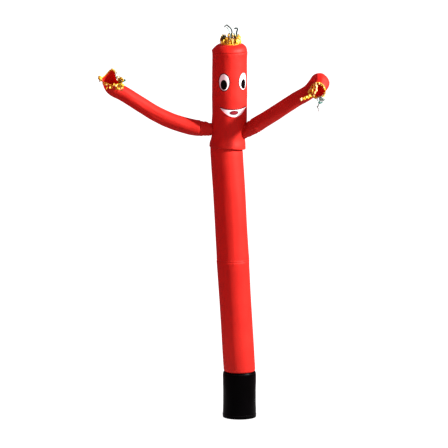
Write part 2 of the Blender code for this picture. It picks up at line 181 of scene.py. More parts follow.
floor = add_piece("studio_floor", [(-FLOOR_HALF, -FLOOR_HALF, 0), (FLOOR_HALF, -FLOOR_HALF, 0),
                                   (FLOOR_HALF, FLOOR_HALF, 0), (-FLOOR_HALF, FLOOR_HALF, 0)],
                  faces=[(0, 1, 2, 3)])
paint, tree, shader = new_material("matt_white_floor_paint")
feed(shader, {"Base Color": linear("464646"), "Roughness": 0.9, "Specular IOR Level": 0.0,
              "Emission Color": WHITE, "Emission Strength": 0.85})
floor.data.materials.append(paint)
print("floor of", 2 * FLOOR_HALF, "m")

# %% [markdown]
# ## How a blown-up tube is drawn
#
# Nylon held by air takes a round section everywhere, so a tube is a row of rings through a few
# stations. A sculpted mesh or a cloth simulation would give the same plain shape more slowly, and
# neither would keep to the solids as well. The stations here repeat the solids' own, and a cubic
# between them turns their flats into even curves.

# %% Smooth curves through stations
def smooth_through(at, values, wanted, limited=True):
    """Values on a cubic through stations; limited keeps it from swinging past them."""
    at, values, wanted = (np.asarray(a, float) for a in (at, values, wanted))
    steps = np.diff(at)[:, None]
    slopes = np.diff(values, axis=0) / steps
    before, after = slopes[:-1], slopes[1:]
    inner = (steps[1:] * before + steps[:-1] * after) / (steps[1:] + steps[:-1])
    if limited:
        most = 3.0 * np.minimum(abs(before), abs(after)) * (before * after > 0)
        inner = np.clip(inner, -most, most)
    tangents = np.vstack([slopes[:1], inner, slopes[-1:]])
    here = np.clip(np.searchsorted(at, wanted, side="right") - 1, 0, len(at) - 2)
    step = steps[here]
    s = (wanted - at[here])[:, None] / step
    return ((1 + 2 * s) * (1 - s) ** 2 * values[here] + s ** 2 * (3 - 2 * s) * values[here + 1]
            + s * (1 - s) ** 2 * step * tangents[here]
            - s ** 2 * (1 - s) * step * tangents[here + 1])


def run_of(points):
    """Distance of each point of a row from its first, along the row."""
    return np.concatenate([[0.0], np.cumsum(np.linalg.norm(np.diff(points, axis=0), axis=1))])


def unit(vectors):
    return vectors / np.linalg.norm(vectors, axis=-1, keepdims=True)


# %% Rows of rings, closest together beside the sewn ends
SEAM_STEP, OPEN_STEP, SEAM_REACH = 0.0045, 0.013, 0.1
BODY_SIDES, ARM_SIDES = 168, 112


def rows_along(length):
    places = [0.0]
    while places[-1] < length:
        edge = max(0.0, min(places[-1], length - places[-1], SEAM_REACH)) / SEAM_REACH
        places.append(places[-1] + SEAM_STEP + (OPEN_STEP - SEAM_STEP) * edge)
    return np.array(places) * length / places[-1]


def turns(sides):
    """Angles round a tube from its back, where its own long seam runs."""
    return math.pi / 2 + math.tau * np.arange(sides) / sides


def flat_ring(angle):
    """Unit vectors at these angles in the level plane."""
    return np.stack([np.cos(angle), np.sin(angle), 0 * angle], axis=-1)


def upright_rings(levels):
    """Rings of an upright tube from its levels: height, sideways place, radius, any dip right."""
    table = np.array([(*level, 0.0)[:4] for level in levels])
    at = run_of(table[:, :3])
    rows = smooth_through(at, table, rows_along(at[-1]))
    z, x, radius, dip = (column[:, None] for column in rows.T)
    out = radius * np.cos(turns(BODY_SIDES))
    return HEM + np.stack([x + out, radius * np.sin(turns(BODY_SIDES)), z - dip * out], axis=2)


print("a body ring has", BODY_SIDES, "points and an arm ring", ARM_SIDES)

# %% A sheet through rings, with a map of the cloth in metres
NO_SEAM = 9.0             # metres, so far from an open end that nothing there is drawn up


def cloth_tube(name, rings, sewn=(True, True)):
    """The sheet, its UV map, and for each point its place round, along, and from a sewn end."""
    rows, sides = rings.shape[:2]
    row, side = (a.ravel() for a in np.indices((rows - 1, sides)))
    beside = (side + 1) % sides
    faces = np.stack([row * sides + side, row * sides + beside,
                      (row + 1) * sides + beside, (row + 1) * sides + side], axis=1)
    run = run_of(rings.mean(axis=1))
    girth = np.linalg.norm(rings - np.roll(rings, 1, axis=1), axis=2).sum(axis=1).mean()
    ends = [run if sewn[0] else run + NO_SEAM, run[-1] - run if sewn[1] else run + NO_SEAM]
    piece = add_piece(name, rings.reshape(-1, 3), faces=faces.tolist(),
                      seam=np.repeat(np.minimum(*ends), sides), run=np.repeat(run, sides),
                      around=np.tile(flat_ring(turns(sides)), (rows, 1)))
    across = np.stack([side, side + 1, side + 1, side], axis=1) * girth / sides
    up = np.stack([run[row], run[row], run[row + 1], run[row + 1]], axis=1)
    uv = np.stack([across, up], axis=2).ravel()
    piece.data.uv_layers.new(name="cloth").data.foreach_set("uv", uv)
    print(name, rows, "rings, girth", round(girth, 3), "m, length", round(run[-1], 3), "m")
    return piece


def lay_of(piece):
    """A piece's points and their normals, as arrays."""
    points = np.empty(3 * len(piece.data.vertices))
    piece.data.vertices.foreach_get("co", points)
    normals = np.array([v.vector for v in piece.data.vertex_normals])
    return points.reshape(-1, 3), normals


# %% [markdown]
# ## Puckers, creases and sway
#
# A straight line of stitches draws coated nylon up, so little pillows with sharp valleys between
# them stand along each seam and die out within a hand's width. Right at the seam the stitches hold
# the cloth to their own line. Away from the seams it keeps only long soft creases and a slight
# sway. Geometry Nodes push every point along its normal by those three amounts. The noise reads
# the point's place round and along its tube, so the pattern closes on itself and runs with the
# cloth.

# %% Trees with named inputs
def new_tree(name, sizes):
    """A tree that takes a piece and these named inputs, and the sockets that give them."""
    tree = bpy.data.node_groups.new(name, "GeometryNodeTree")
    tree.interface.new_socket("Geometry", in_out="OUTPUT", socket_type="NodeSocketGeometry")
    for title, kind in {"Geometry": "Geometry", **sizes, "material": "Material"}.items():
        tree.interface.new_socket(title, in_out="INPUT", socket_type="NodeSocket" + kind)
    return tree, node(tree, "NodeGroupInput").outputs


def close_tree(tree, geometry, material):
    real = node(tree, "GeometryNodeRealizeInstances", {"Geometry": geometry})
    finished = node(tree, "GeometryNodeSetMaterial", {"Geometry": real, "Material": material})
    node(tree, "NodeGroupOutput", {"Geometry": finished})
    print(tree.name, "has", len(tree.nodes), "nodes")
    return tree


def grow(piece, tree, material, sizes):
    """Runs a tree on a piece and leaves the result as its plain mesh."""
    run = piece.modifiers.new(tree.name, "NODES")
    run.node_group = tree
    sockets = {item.name: item.identifier for item in tree.interface.items_tree
               if item.in_out == "INPUT"}
    for title, value in {**sizes, "material": material}.items():
        run[sockets[title]] = value
    graph = bpy.context.evaluated_depsgraph_get()
    grown = bpy.data.meshes.new_from_object(piece.evaluated_get(graph), depsgraph=graph,
                                            preserve_all_data_layers=True)
    piece.modifiers.remove(run)
    piece.data = grown
    print(piece.name, "after", tree.name, "has", len(grown.polygons), "faces")
    return piece


# %% The tree for cloth under air
SEAM_HOLD = 0.014         # nearer than this the stitches hold the cloth to the seam's line
GATHERS_ALONG, CREASES_ROUND, SWAYS_ROUND, SWAYS_ALONG = 14.0, 9.0, 3.0, 2.2
FULL_NOISE = 0.25, 0.75   # the part of the noise that is stretched to -1 to 1
CLOTH_SIZES = ("pucker depth", "pucker fade", "gathers", "crease depth", "crease length", "sway",
               "seed")

tree, size = new_tree("cloth_under_air", dict.fromkeys(CLOTH_SIZES, "Float"))
around, run, seam = (
    node(tree, "GeometryNodeInputNamedAttribute", {"Name": title}, data_type=kind)
    for title, kind in (("around", "FLOAT_VECTOR"), ("run", "FLOAT"), ("seam", "FLOAT")))


def round_noise(count, along, detail):
    """Noise from -1 to 1 that has about count waves round a tube and along waves for each metre."""
    spread = node(tree, "ShaderNodeMath", {0: count, 1: 1 / math.tau}, operation="MULTIPLY")
    ring = node(tree, "ShaderNodeVectorMath", {0: around, "Scale": spread}, operation="SCALE")
    rise = node(tree, "ShaderNodeMath", {0: run, 1: along, 2: size["seed"]},
                operation="MULTIPLY_ADD")
    lift = node(tree, "ShaderNodeCombineXYZ", {"Z": rise})
    place = node(tree, "ShaderNodeVectorMath", {0: ring, 1: lift})
    noise = node(tree, "ShaderNodeTexNoise", {"Vector": place, "Scale": 1.0, "Detail": detail})
    return node(tree, "ShaderNodeMapRange", {
        "Value": noise, "From Min": FULL_NOISE[0], "From Max": FULL_NOISE[1], "To Min": -1.0},
        clamp=False)


gathered = round_noise(size["gathers"], GATHERS_ALONG, 1.0)
pillow = node(tree, "ShaderNodeMath", {0: gathered}, operation="ABSOLUTE")
nearness = node(tree, "ShaderNodeMath", {0: seam, 1: size["pucker fade"]}, operation="DIVIDE")
fading = node(tree, "ShaderNodeMath", {0: math.exp(-1.0), 1: nearness}, operation="POWER")
deep = node(tree, "ShaderNodeMath", {0: fading, 1: size["pucker depth"]}, operation="MULTIPLY")
pucker = node(tree, "ShaderNodeMath", {0: pillow, 1: deep}, operation="MULTIPLY")
waves = node(tree, "ShaderNodeMath", {0: 1.0, 1: size["crease length"]}, operation="DIVIDE")
folded = round_noise(CREASES_ROUND, waves, 1.5)
crease = node(tree, "ShaderNodeMath", {0: folded, 1: size["crease depth"], 2: pucker},
              operation="MULTIPLY_ADD")
swung = round_noise(SWAYS_ROUND, SWAYS_ALONG, 0.0)
free_push = node(tree, "ShaderNodeMath", {0: swung, 1: size["sway"], 2: crease},
                 operation="MULTIPLY_ADD")
hold = node(tree, "ShaderNodeMapRange", {"Value": seam, "From Max": SEAM_HOLD},
            interpolation_type="SMOOTHSTEP")
push = node(tree, "ShaderNodeMath", {0: free_push, 1: hold}, operation="MULTIPLY")
offset = node(tree, "ShaderNodeVectorMath", {
    0: node(tree, "GeometryNodeInputNormal"), "Scale": push}, operation="SCALE")
moved = node(tree, "GeometryNodeSetPosition", {"Geometry": size["Geometry"], "Offset": offset})
cloth_tree = close_tree(tree, moved, size["material"])


def air_tube(name, rings, material, *sizes, sewn=(True, True)):
    """A sheet through rings, pushed by the cloth tree; its sizes are in CLOTH_SIZES' order."""
    sheet = cloth_tube(name, rings, sewn)
    return grow(sheet, cloth_tree, material, dict(zip(CLOTH_SIZES, sizes)))


# %% [markdown]
# ## Red nylon
#
# The tubes are ripstop nylon: a light plain weave with a thicker thread every few millimetres each
# way, coated on the inside so that it holds air. It gives the eye a strong clean red, a broad soft
# gloss from the flat filaments, and a faint grid. It is also thin, so part of the light goes on
# through it and makes it glow inside the open hands and on the shaded side. A translucent shader
# mixed into the plain one does that, at far less cost than scattering inside the cloth.

# %% Coated nylon
MIX_A, MIX_B, MIXED = 6, 7, 2        # the colour sockets of a Mix node
THREAD_EDGES = 0.04, 0.14            # where the thicker thread ends, as shares of the grid
THREAD_TINT, THREAD_HEIGHT = 0.22, 0.14


def nylon(name, deep, bright, thread, grid, roughness, gloss_level=0.35, fuzz=0.06):
    """Coated nylon between two tints, with a thicker thread of its own tint every grid metres."""
    made, tree, shader = new_material(name)
    where = node(tree, "ShaderNodeTexCoord").outputs["Object"]
    place = node(tree, "ShaderNodeSeparateXYZ", {0: node(tree, "ShaderNodeUVMap", uv_map="cloth")})
    lines = []
    for axis in (0, 1):
        off = node(tree, "ShaderNodeMath", {0: place.outputs[axis], 1: grid / 2},
                   operation="PINGPONG")
        lines.append(node(tree, "ShaderNodeMapRange", {
            "Value": off, "From Min": grid * THREAD_EDGES[0], "From Max": grid * THREAD_EDGES[1],
            "To Min": 1.0, "To Max": 0.0}))
    ripstop = node(tree, "ShaderNodeMath", {0: lines[0], 1: lines[1]}, operation="MAXIMUM")
    wear = node(tree, "ShaderNodeTexNoise", {
        "Vector": where, "Scale": 4.0, "Detail": 4.0, "Roughness": 0.6}).outputs["Fac"]
    tone = node(tree, "ShaderNodeMapRange", {"Value": wear, "From Min": 0.35, "From Max": 0.65})
    worn = node(tree, "ShaderNodeMix", {0: tone, MIX_A: linear(deep), MIX_B: linear(bright)},
                data_type="RGBA")
    woven = node(tree, "ShaderNodeMath", {0: ripstop, 1: THREAD_TINT}, operation="MULTIPLY")
    colour = node(tree, "ShaderNodeMix", {
        0: woven, MIX_A: worn.outputs[MIXED], MIX_B: linear(thread)}, data_type="RGBA")
    crinkle = node(tree, "ShaderNodeTexNoise", {
        "Vector": where, "Scale": 38.0, "Detail": 3.0, "Roughness": 0.55}).outputs["Fac"]
    height = node(tree, "ShaderNodeMath", {0: ripstop, 1: THREAD_HEIGHT, 2: crinkle},
                  operation="MULTIPLY_ADD")
    relief = node(tree, "ShaderNodeBump", {"Height": height, "Strength": 0.35, "Distance": 0.0012})
    gloss = node(tree, "ShaderNodeMapRange", {
        "Value": wear, "From Min": 0.3, "From Max": 0.7,
        "To Min": roughness - 0.04, "To Max": roughness + 0.05})
    feed(shader, {
        "Base Color": colour.outputs[MIXED], "Normal": relief, "Roughness": gloss,
        "Sheen Weight": fuzz, "Sheen Roughness": 0.4, "Specular IOR Level": gloss_level})
    return made


# A real ripstop grid is 5 mm. It is drawn at 16 mm, the finest that shows on the whole figure.
red_nylon = nylon("coated_red_ripstop_nylon", "C62D22", "CF3427", "B2261D", 0.016, 0.6, 0.4, 0.04)
THROUGH = 0.4            # share of the light that goes on through the thin cloth
tree = red_nylon.node_tree
through = node(tree, "ShaderNodeBsdfTranslucent", {"Color": linear("FF2A1C")})
both = node(tree, "ShaderNodeMixShader", {0: THROUGH, 1: tree.nodes["Principled BSDF"], 2: through})
feed(tree.nodes["Material Output"], {"Surface": both})
print("made", red_nylon.name)

# %% [markdown]
# ## The upright tubes
#
# The red figure is sewn from three tubes and a domed top. The lowest pair leans a little, and the
# torso hangs over them as a skirt whose edge is turned in and pulled up against them by stitches.
# Each tube is drawn from its own levels, puckered, and then given the cloth's thickness.

# %% Levels of the upright tubes
LEAN = -0.0575            # sideways run of the lower tube for each metre up
SLEEVE_TOP, CROSS_SEAM, WAIST, HEAD_SEAM = 0.375, 1.28, 2.2, 2.98
SEAM_GAP = 0.0005
HEAD_X, HEAD_RADIUS, HEAD_SEAM_RADIUS = -0.0804, 0.14, 0.1402
LOWER_RADIUS, CROSS_SEAM_RADIUS = 0.13, 0.1301
HEM_DIP = 0.075           # the torso's edge falls this much to the right, metre for metre


def lean(z):
    return LEAN * (z - SLEEVE_TOP)


LOWER_A = [(z, lean(z), radius) for z, radius in (
    (SLEEVE_TOP + SEAM_GAP, 0.1215), (0.387, 0.1252), (0.41, 0.1262), (0.8, 0.1272),
    (1.262, 0.1289), (CROSS_SEAM, CROSS_SEAM_RADIUS))]
LOWER_B = [(z, lean(z) + aside, radius) for z, aside, radius in (
    (CROSS_SEAM + SEAM_GAP, 0.0, CROSS_SEAM_RADIUS), (1.298, 0.0, 0.1289), (1.7, 0.0, 0.1294),
    (2.1, 0.0, 0.1296), (2.15, 0.0, LOWER_RADIUS), (2.18, 0.0, 0.1288), (2.222, 0.0, 0.1262),
    (2.235, 0.003, 0.124))]
UPPER = [
    (2.196, lean(2.196), LOWER_RADIUS + 0.0012, HEM_DIP), (2.194, -0.0957, 0.143, HEM_DIP),
    (2.2, -0.0945, 0.1449, HEM_DIP), (2.212, -0.0944, 0.1449, 0.05), (2.236, -0.0932, 0.1434, 0.02),
    (2.254, -0.0916, 0.139), (2.29, -0.0872, 0.134), (2.335, -0.0845, 0.1352),
    (2.385, -0.082, 0.139), (2.45, HEAD_X, HEAD_RADIUS), (2.7, HEAD_X, HEAD_RADIUS),
    (2.965, HEAD_X, HEAD_RADIUS), (HEAD_SEAM, HEAD_X, HEAD_SEAM_RADIUS)]
DOME = [(z, HEAD_X + aside, radius) for z, aside, radius in (
    (HEAD_SEAM + SEAM_GAP, 0.0, HEAD_SEAM_RADIUS), (2.987, 0.0, HEAD_SEAM_RADIUS),
    (2.996, 0.0, 0.1385), (3.008, 0.002, 0.133), (3.02, 0.004, 0.1225), (3.029, 0.006, 0.109),
    (3.035, 0.008, 0.093), (3.039, 0.0085, 0.074))]
print("levels:", len(LOWER_A), len(LOWER_B), len(UPPER), len(DOME))

# %% The lower tube
CLOTH = 0.0012


def thicken(piece, cloth, offset=-1.0):
    """Gives a sheet its thickness: inside it at offset -1, outside at +1."""
    solid = piece.modifiers.new("thickness", "SOLIDIFY")
    solid.thickness = cloth
    solid.offset = offset
    return piece


lower_a = air_tube("lower_tube_a_cloth", upright_rings(LOWER_A), red_nylon,
                   0.0032, 0.04, 26.0, 0.0019, 0.8, 0.0022, 3.0)
lower_b = air_tube("lower_tube_b_cloth", upright_rings(LOWER_B), red_nylon,
                   0.0026, 0.035, 26.0, 0.0019, 0.8, 0.0022, 11.0)

# %% [markdown]
# ## Torso, shoulders and arms
#
# A shoulder is a short cone from a hole in the torso's side to the seam where the arm begins. Its
# inner edge has to follow the round torso, so each of its lines is run back until it meets the
# torso's cloth. An arm is a tube square to its own path. Its mouth is uneven, since the cloth
# there is held by nothing, and the right arm's end is folded over by the wind.

# %% The torso's skirt, drawn up a little in front
LIFT_FACING, LIFT_WIDTH = math.radians(-88), math.radians(52)
LIFT_HEIGHT, LIFT_FADE = 0.014, 0.035

torso_rings = upright_rings(UPPER)
off = (turns(BODY_SIDES) - LIFT_FACING + math.pi) % math.tau - math.pi
fade = np.clip(1.0 - (torso_rings[..., 2].mean(axis=1) - WAIST) / LIFT_FADE, 0.0, 1.0)
torso_rings[..., 2] += LIFT_HEIGHT * np.outer(fade, np.exp(-(off / LIFT_WIDTH) ** 2))
torso = air_tube("torso_cloth", torso_rings, red_nylon,
                 0.004, 0.03, 22.0, 0.0024, 0.16, 0.0022, 23.0)
whole_torso = lay_of(torso)       # kept from before the armholes are cut
torso_faces = [tuple(face.vertices) for face in torso.data.polygons]
print("skirt's lowest point", round(torso_rings[..., 2].min(), 4), "m")

# %% Shoulder cones that meet the torso
SHOULDERS = {   # inner and outer end of the cone's middle line, and the radius at each
    "left": (np.array([-0.2175, 0.0, 2.342]), np.array([-0.3136, 0.0, 2.35]), 0.045, 0.06),
    "right": (np.array([0.047, -0.035, 2.33]), np.array([0.120137, -0.065515, 2.383019]),
              0.049, 0.058)}
FURTHEST_IN, HALVINGS = -0.07, 30
TUCK, BELLY, CONE_ROWS = 0.003, 0.0025, 22
upper_table = np.array([level[:3] for level in UPPER[2:]])


def cone_frame(side):
    root, end, root_radius, end_radius = SHOULDERS[side]
    length = np.linalg.norm(end - root)
    way = (end - root) / length
    along = unit(UP - way * way[2])
    slope = (end_radius - root_radius) / length
    return root, way, along, np.cross(way, along), length, root_radius, slope


def outside_torso(points):
    """How far points stand outside the torso's round cloth; less than nothing is inside it."""
    x, radius = smooth_through(upper_table[:, 0], upper_table[:, 1:3], points[:, 2]).T
    return np.hypot(points[:, 0] - x, points[:, 1]) - radius


def shoulder_rings(side):
    root, way, along, across, length, radius, slope = cone_frame(side)
    angle = turns(ARM_SIDES)[:, None]
    spoke = np.cos(angle) * along + np.sin(angle) * across
    low, high = np.full((ARM_SIDES, 1), FURTHEST_IN), np.full((ARM_SIDES, 1), length)
    for halving in range(HALVINGS):
        middle = (low + high) / 2
        edge = root + middle * way + (radius + slope * middle) * spoke
        outside = outside_torso(edge)[:, None] > 0
        low, high = np.where(outside, low, middle), np.where(outside, middle, high)
    rings = []
    for share in np.linspace(0.0, 1.0, CONE_ROWS):
        reach = (low - TUCK) + share * (length - low + TUCK)
        round_out = BELLY * math.sin(math.pi * share)
        rings.append(HEM + root + reach * way + (radius + slope * reach + round_out) * spoke)
    return np.array(rings)


shoulder_left, shoulder_right = (
    air_tube("shoulder_%s_cloth" % side, shoulder_rings(side), red_nylon,
             0.007, 0.03, 15.0, 0.0055, 0.045, 0.0, seed)
    for side, seed in (("left", 31.0), ("right", 37.0)))

# %% Armholes, each a little smaller than its shoulder's cone
HOLE_MARGIN = 0.004


def open_armhole(piece, side):
    """Takes out the torso's faces that lie inside a shoulder's cone."""
    root, way, _, _, length, radius, slope = cone_frame(side)
    cut = bmesh.new()
    cut.from_mesh(piece.data)
    middles = np.array([face.calc_center_median() for face in cut.faces]) - HEM - root
    reach = middles @ way
    apart = np.linalg.norm(middles - np.outer(reach, way), axis=1)
    inner = (abs(reach) < length) & (apart < radius + slope * reach - HOLE_MARGIN)
    gone = [face for face, taken in zip(list(cut.faces), inner) if taken]
    bmesh.ops.delete(cut, geom=gone, context="FACES")
    cut.to_mesh(piece.data)
    cut.free()
    print("armhole", side, "takes out", int(inner.sum()), "faces")


for side in SHOULDERS:
    open_armhole(torso, side)

# %% The dome, which sinks a little on its left
DOME_SLUMP = 0.011

dome_rings = upright_rings(DOME)
climb = (dome_rings[..., 2] - HEAD_SEAM) / (DOME[-1][0] - HEAD_SEAM)
leftward = np.clip(-np.cos(turns(BODY_SIDES)), 0.0, 1.0)
dome_rings[..., 2] -= DOME_SLUMP * np.sin(math.pi * np.clip(climb, 0.0, 1.0)) * leftward ** 1.5
dome = air_tube("head_top_cloth", dome_rings, red_nylon,
                0.0024, 0.018, 24.0, 0.0006, 0.1, 0.0, 41.0, sewn=(True, False))

# %% Stations of the left arm
# Middle, half sizes along and across the guide, unevenness of the mouth.
LEFT_GUIDE = np.array([0.0, 0.745, 0.663])
LEFT_ARM = np.array([
    (-0.3141, 0.0, 2.35, 0.06, 0.06, 0.0), (-0.325, 0.0, 2.351, 0.0622, 0.0622, 0.0),
    (-0.396, 0.0, 2.362, 0.0632, 0.0632, 0.0), (-0.5, 0.0, 2.394, 0.0622, 0.0627, 0.0),
    (-0.596, 0.0, 2.432, 0.0612, 0.0622, 0.0), (-0.732, 0.0, 2.506, 0.06, 0.061, 0.0),
    (-0.85, 0.0, 2.584, 0.06, 0.061, 0.0), (-0.942, -0.001, 2.642, 0.06, 0.062, 0.0),
    (-0.977, -0.003, 2.659, 0.06, 0.064, 0.0), (-1.002, -0.01, 2.678, 0.0585, 0.067, 0.0),
    (-1.013, -0.024, 2.7, 0.0555, 0.07, 0.1), (-1.016, -0.042, 2.726, 0.0525, 0.074, 0.5),
    (-1.015, -0.06, 2.75, 0.05, 0.078, 1.0)])
# Each lobe of a mouth: degrees round, narrowness, metres onward, metres outward.
LEFT_MOUTH = [(4, 30, 0.07, 0.004), (100, 10, 0.006, 0.008), (145, 14, 0.014, 0.0),
              (200, 10, -0.012, 0.004), (280, 10, 0.004, -0.035), (312, 16, -0.018, -0.004)]
print("left arm has", len(LEFT_ARM), "stations")

# %% Stations of the right arm: straight, folded over at the wrist, hanging from the fold
RIGHT_ROOT, RIGHT_WAY = SHOULDERS["right"][0], unit(np.array([0.767, -0.32, 0.556]))
RIGHT_STRAIGHT = ((0.0955, 0.058, 0.058), (0.108, 0.0592, 0.059), (0.24, 0.0592, 0.0586),
                  (0.3875, 0.0585, 0.0578), (0.53, 0.0585, 0.0575), (0.68, 0.0585, 0.0575))
FOLD_START, FOLD_TO = np.array([0.612, -0.266, 2.76]), unit(np.array([-0.05, -0.93, -0.36]))
FOLD_RADIUS, FOLD_TURN = 0.062, math.radians(120)
FOLD_HALF_WIDTHS = (0.0655, 0.0685, 0.0695, 0.0695, 0.068, 0.065, 0.061)
# Metres against the guide, metres on from the fold, half width, unevenness.
RIGHT_HANGING = ((0.004, 0.022, 0.0565, 0.4), (0.008, 0.048, 0.0535, 1.0))
RIGHT_GUIDE = unit(np.cross(RIGHT_WAY, FOLD_TO))
RIGHT_MOUTH = [(320, 6, 0.034, 0.004), (245, 10, 0.022, 0.006), (150, 6, -0.008, 0.0),
               (60, 8, 0.004, 0.0)]


def right_arm():
    """The straight arm, the fold at its wrist, and the mouth that hangs from the fold."""
    straight = [(*(RIGHT_ROOT + reach * RIGHT_WAY), along, across, 0.0)
                for reach, along, across in RIGHT_STRAIGHT]
    way = unit(FOLD_START - np.array(straight[-1][:3]))
    inward = unit(FOLD_TO - way * (way @ FOLD_TO))
    folded = [(*FOLD_START, 0.061, 0.055, 0.0)]
    for step, half_width in enumerate(FOLD_HALF_WIDTHS, start=1):
        turn = FOLD_TURN * step / len(FOLD_HALF_WIDTHS)
        middle = FOLD_START + FOLD_RADIUS * (math.sin(turn) * way + (1 - math.cos(turn)) * inward)
        folded.append((*middle, half_width, 0.056, 0.0))
    onward = math.cos(FOLD_TURN) * way + math.sin(FOLD_TURN) * inward
    hanging = [(*(middle - aside * RIGHT_GUIDE + further * onward), half_width, 0.06, uneven)
               for aside, further, half_width, uneven in RIGHT_HANGING]
    return np.array(straight + folded + hanging)


# %% Rings square to an arm's path
def arm_rings(stations, guide, mouth, first_way):
    at = run_of(stations[:, :3])
    rows = rows_along(at[-1])
    middles = smooth_through(at, stations[:, :3], rows, limited=False)
    along, across, uneven = (v[:, None, None] for v in smooth_through(at, stations[:, 3:], rows).T)
    ways = unit(np.gradient(middles, rows, axis=0))
    ways[0] = first_way
    first = unit(guide - ways * (ways @ guide)[:, None])
    second = np.cross(ways, first)
    angle = turns(ARM_SIDES)[None, :, None]
    spokes = along * np.cos(angle) * first[:, None] + across * np.sin(angle) * second[:, None]
    out = unit(spokes)
    for facing, narrow, onward, outward in mouth:
        share = uneven * abs(np.cos((angle - math.radians(facing)) / 2)) ** narrow
        spokes = spokes + share * (onward * ways[:, None] + outward * out)
    return HEM + middles[:, None] + spokes


arm_left, arm_right = (
    air_tube("arm_%s_cloth" % side, arm_rings(*path), red_nylon,
             0.006, 0.034, 15.0, 0.0024, 0.18, 0.0024, seed, sewn=(True, False))
    for side, path, seed in (
        ("left", (LEFT_ARM, LEFT_GUIDE, LEFT_MOUTH, cone_frame("left")[1]), 47.0),
        ("right", (right_arm(), RIGHT_GUIDE, RIGHT_MOUTH, RIGHT_WAY), 53.0)))

# %% [markdown]
# ## The black sleeve
#
# The lowest piece goes round the blower's outlet and takes the rubbing, so it is heavy uncoated
# nylon, doubled. Heavy cloth does not pucker so finely: it has a few broad waves, a thick
# turned-up hem at the floor, and a gathered neck where the light red tube is sewn into it.

# %% Sleeve
SLEEVE = [(z, 0.0, radius) for z, radius in (
    (0.0, 0.1322), (0.004, 0.1334), (0.028, 0.1336), (0.034, 0.1322), (0.19, 0.132),
    (0.335, 0.1327), (0.36, 0.1302), (SLEEVE_TOP, 0.1225))]
SLEEVE_CLOTH = 0.003
# Heavy nylon shows its own threads, 1 mm apart. They are drawn 9 mm apart to show at this size.
black_nylon = nylon("heavy_black_woven_nylon", "010101", "030203", "070607", 0.009, 0.42, 0.04, 0.0)
sleeve = air_tube("base_sleeve_cloth", upright_rings(SLEEVE), black_nylon,
                  0.0022, 0.03, 18.0, 0.0016, 0.16, 0.0014, 61.0)

# %% [markdown]
# ## The face
#
# The face is cut from thin nylon, laid flat on the head and sewn down round its edges with a close
# zigzag, which from any distance reads as a drawn outline. Each patch is a small grid in the
# head's own measures, the way round and the height. Every point is then cast from the head's
# middle out onto the finished cloth, so a patch follows each crease that it lies over.

# %% Laying points on the head
FACE_TURN = math.radians(16.5)    # the face's middle, round to the right from the front
PATCH_CLOTH, LAY_GAP = 0.001, 0.0005
head_tree = BVHTree.FromPolygons([tuple(p) for p in whole_torso[0]], torso_faces)


def on_head(turn, z, lift):
    """The point of the head's cloth at this way round from the face's middle, lifted off it."""
    angle = turn + FACE_TURN
    out = Vector((math.sin(angle), -math.cos(angle), 0.0))
    hit, _, _, _ = head_tree.ray_cast(Vector((HEM[0] + HEAD_X, HEM[1], z)), out)
    return np.array(hit) + lift * np.array(out), np.array(out)


def patch(name, grid, closed, layer, material):
    """A thin patch from rows of (way round, height); closed rows go round a middle point."""
    lift = LAY_GAP + layer * (PATCH_CLOTH + LAY_GAP)
    points = [on_head(turn, z, lift)[0] for row in grid for turn, z in row]
    wide, faces = len(grid[0]), []
    for row in range(len(grid) - 1):
        for k in range(wide if closed else wide - 1):
            a, b = row * wide + k, row * wide + (k + 1) % wide
            faces.append((a, a + wide, b + wide, b))
    if closed:
        faces += [(len(points), a, (a + 1) % wide) for a in range(wide)]
        points.append(on_head(*np.mean(grid[0], axis=0), lift)[0])
    piece = add_piece(name, points, faces=faces)
    flat = piece.data.uv_layers.new(name="cloth").data
    for loop in piece.data.loops:
        place = piece.data.vertices[loop.vertex_index].co
        flat[loop.index].uv = (place.x + place.y, place.z)
    piece.data.materials.append(material)
    return thicken(piece, PATCH_CLOTH, 1.0)


# %% Patch cloths
white_nylon = nylon("white_coated_nylon", "ECEBE8", "F4F3F1", "DAD9D6", 0.016, 0.55)
satin_black = nylon("satin_black_coated_nylon", "020102", "040304", "080708", 0.016, 0.3, 0.12, 0.0)
rose_nylon = nylon("rose_coated_nylon", "760F20", "8C1728", "640A19", 0.016, 0.55)
print("made", white_nylon.name, satin_black.name, rose_nylon.name)

# %% Eyes, pupils and tongue
OVALS = {   # way round in degrees, height, width, height of the oval, layer, cloth
    "eye_left": (-34.5, 2.749, 0.092, 0.141, 0, white_nylon),
    "eye_right": (34.5, 2.749, 0.092, 0.141, 0, white_nylon),
    "pupil_left": (-35.0, 2.728, 0.054, 0.081, 1, satin_black),
    "pupil_right": (35.0, 2.728, 0.054, 0.081, 1, satin_black),
    "tongue": (-1.0, 2.503, 0.062, 0.028, 1, rose_nylon)}
OVAL_RINGS, OVAL_SIDES = 7, 56


def oval_edge(name, share=1.0):
    facing, z, wide, high = OVALS[name][:4]
    angle = math.tau * np.arange(OVAL_SIDES) / OVAL_SIDES
    round_way = math.radians(facing) + 0.5 * wide * share * np.cos(angle) / HEAD_RADIUS
    return np.stack([round_way, z + 0.5 * high * share * np.sin(angle)], axis=1)


face = {}
for name, (*_, layer, cloth) in OVALS.items():
    grid = [oval_edge(name, (ring + 1) / OVAL_RINGS) for ring in range(OVAL_RINGS)]
    face[name] = patch(name + "_patch", grid, True, layer, cloth)
print("laid", sorted(face))

# %% The mouth, a crescent between two bows
MOUTH_HALF_TURN, MOUTH_CORNER, MOUTH_END = math.radians(49.0), 2.544, 0.003
MOUTH_TOP_SAG, MOUTH_BOTTOM_SAG, MOUTH_COLUMNS, MOUTH_ROWS = 0.017, 0.077, 48, 9

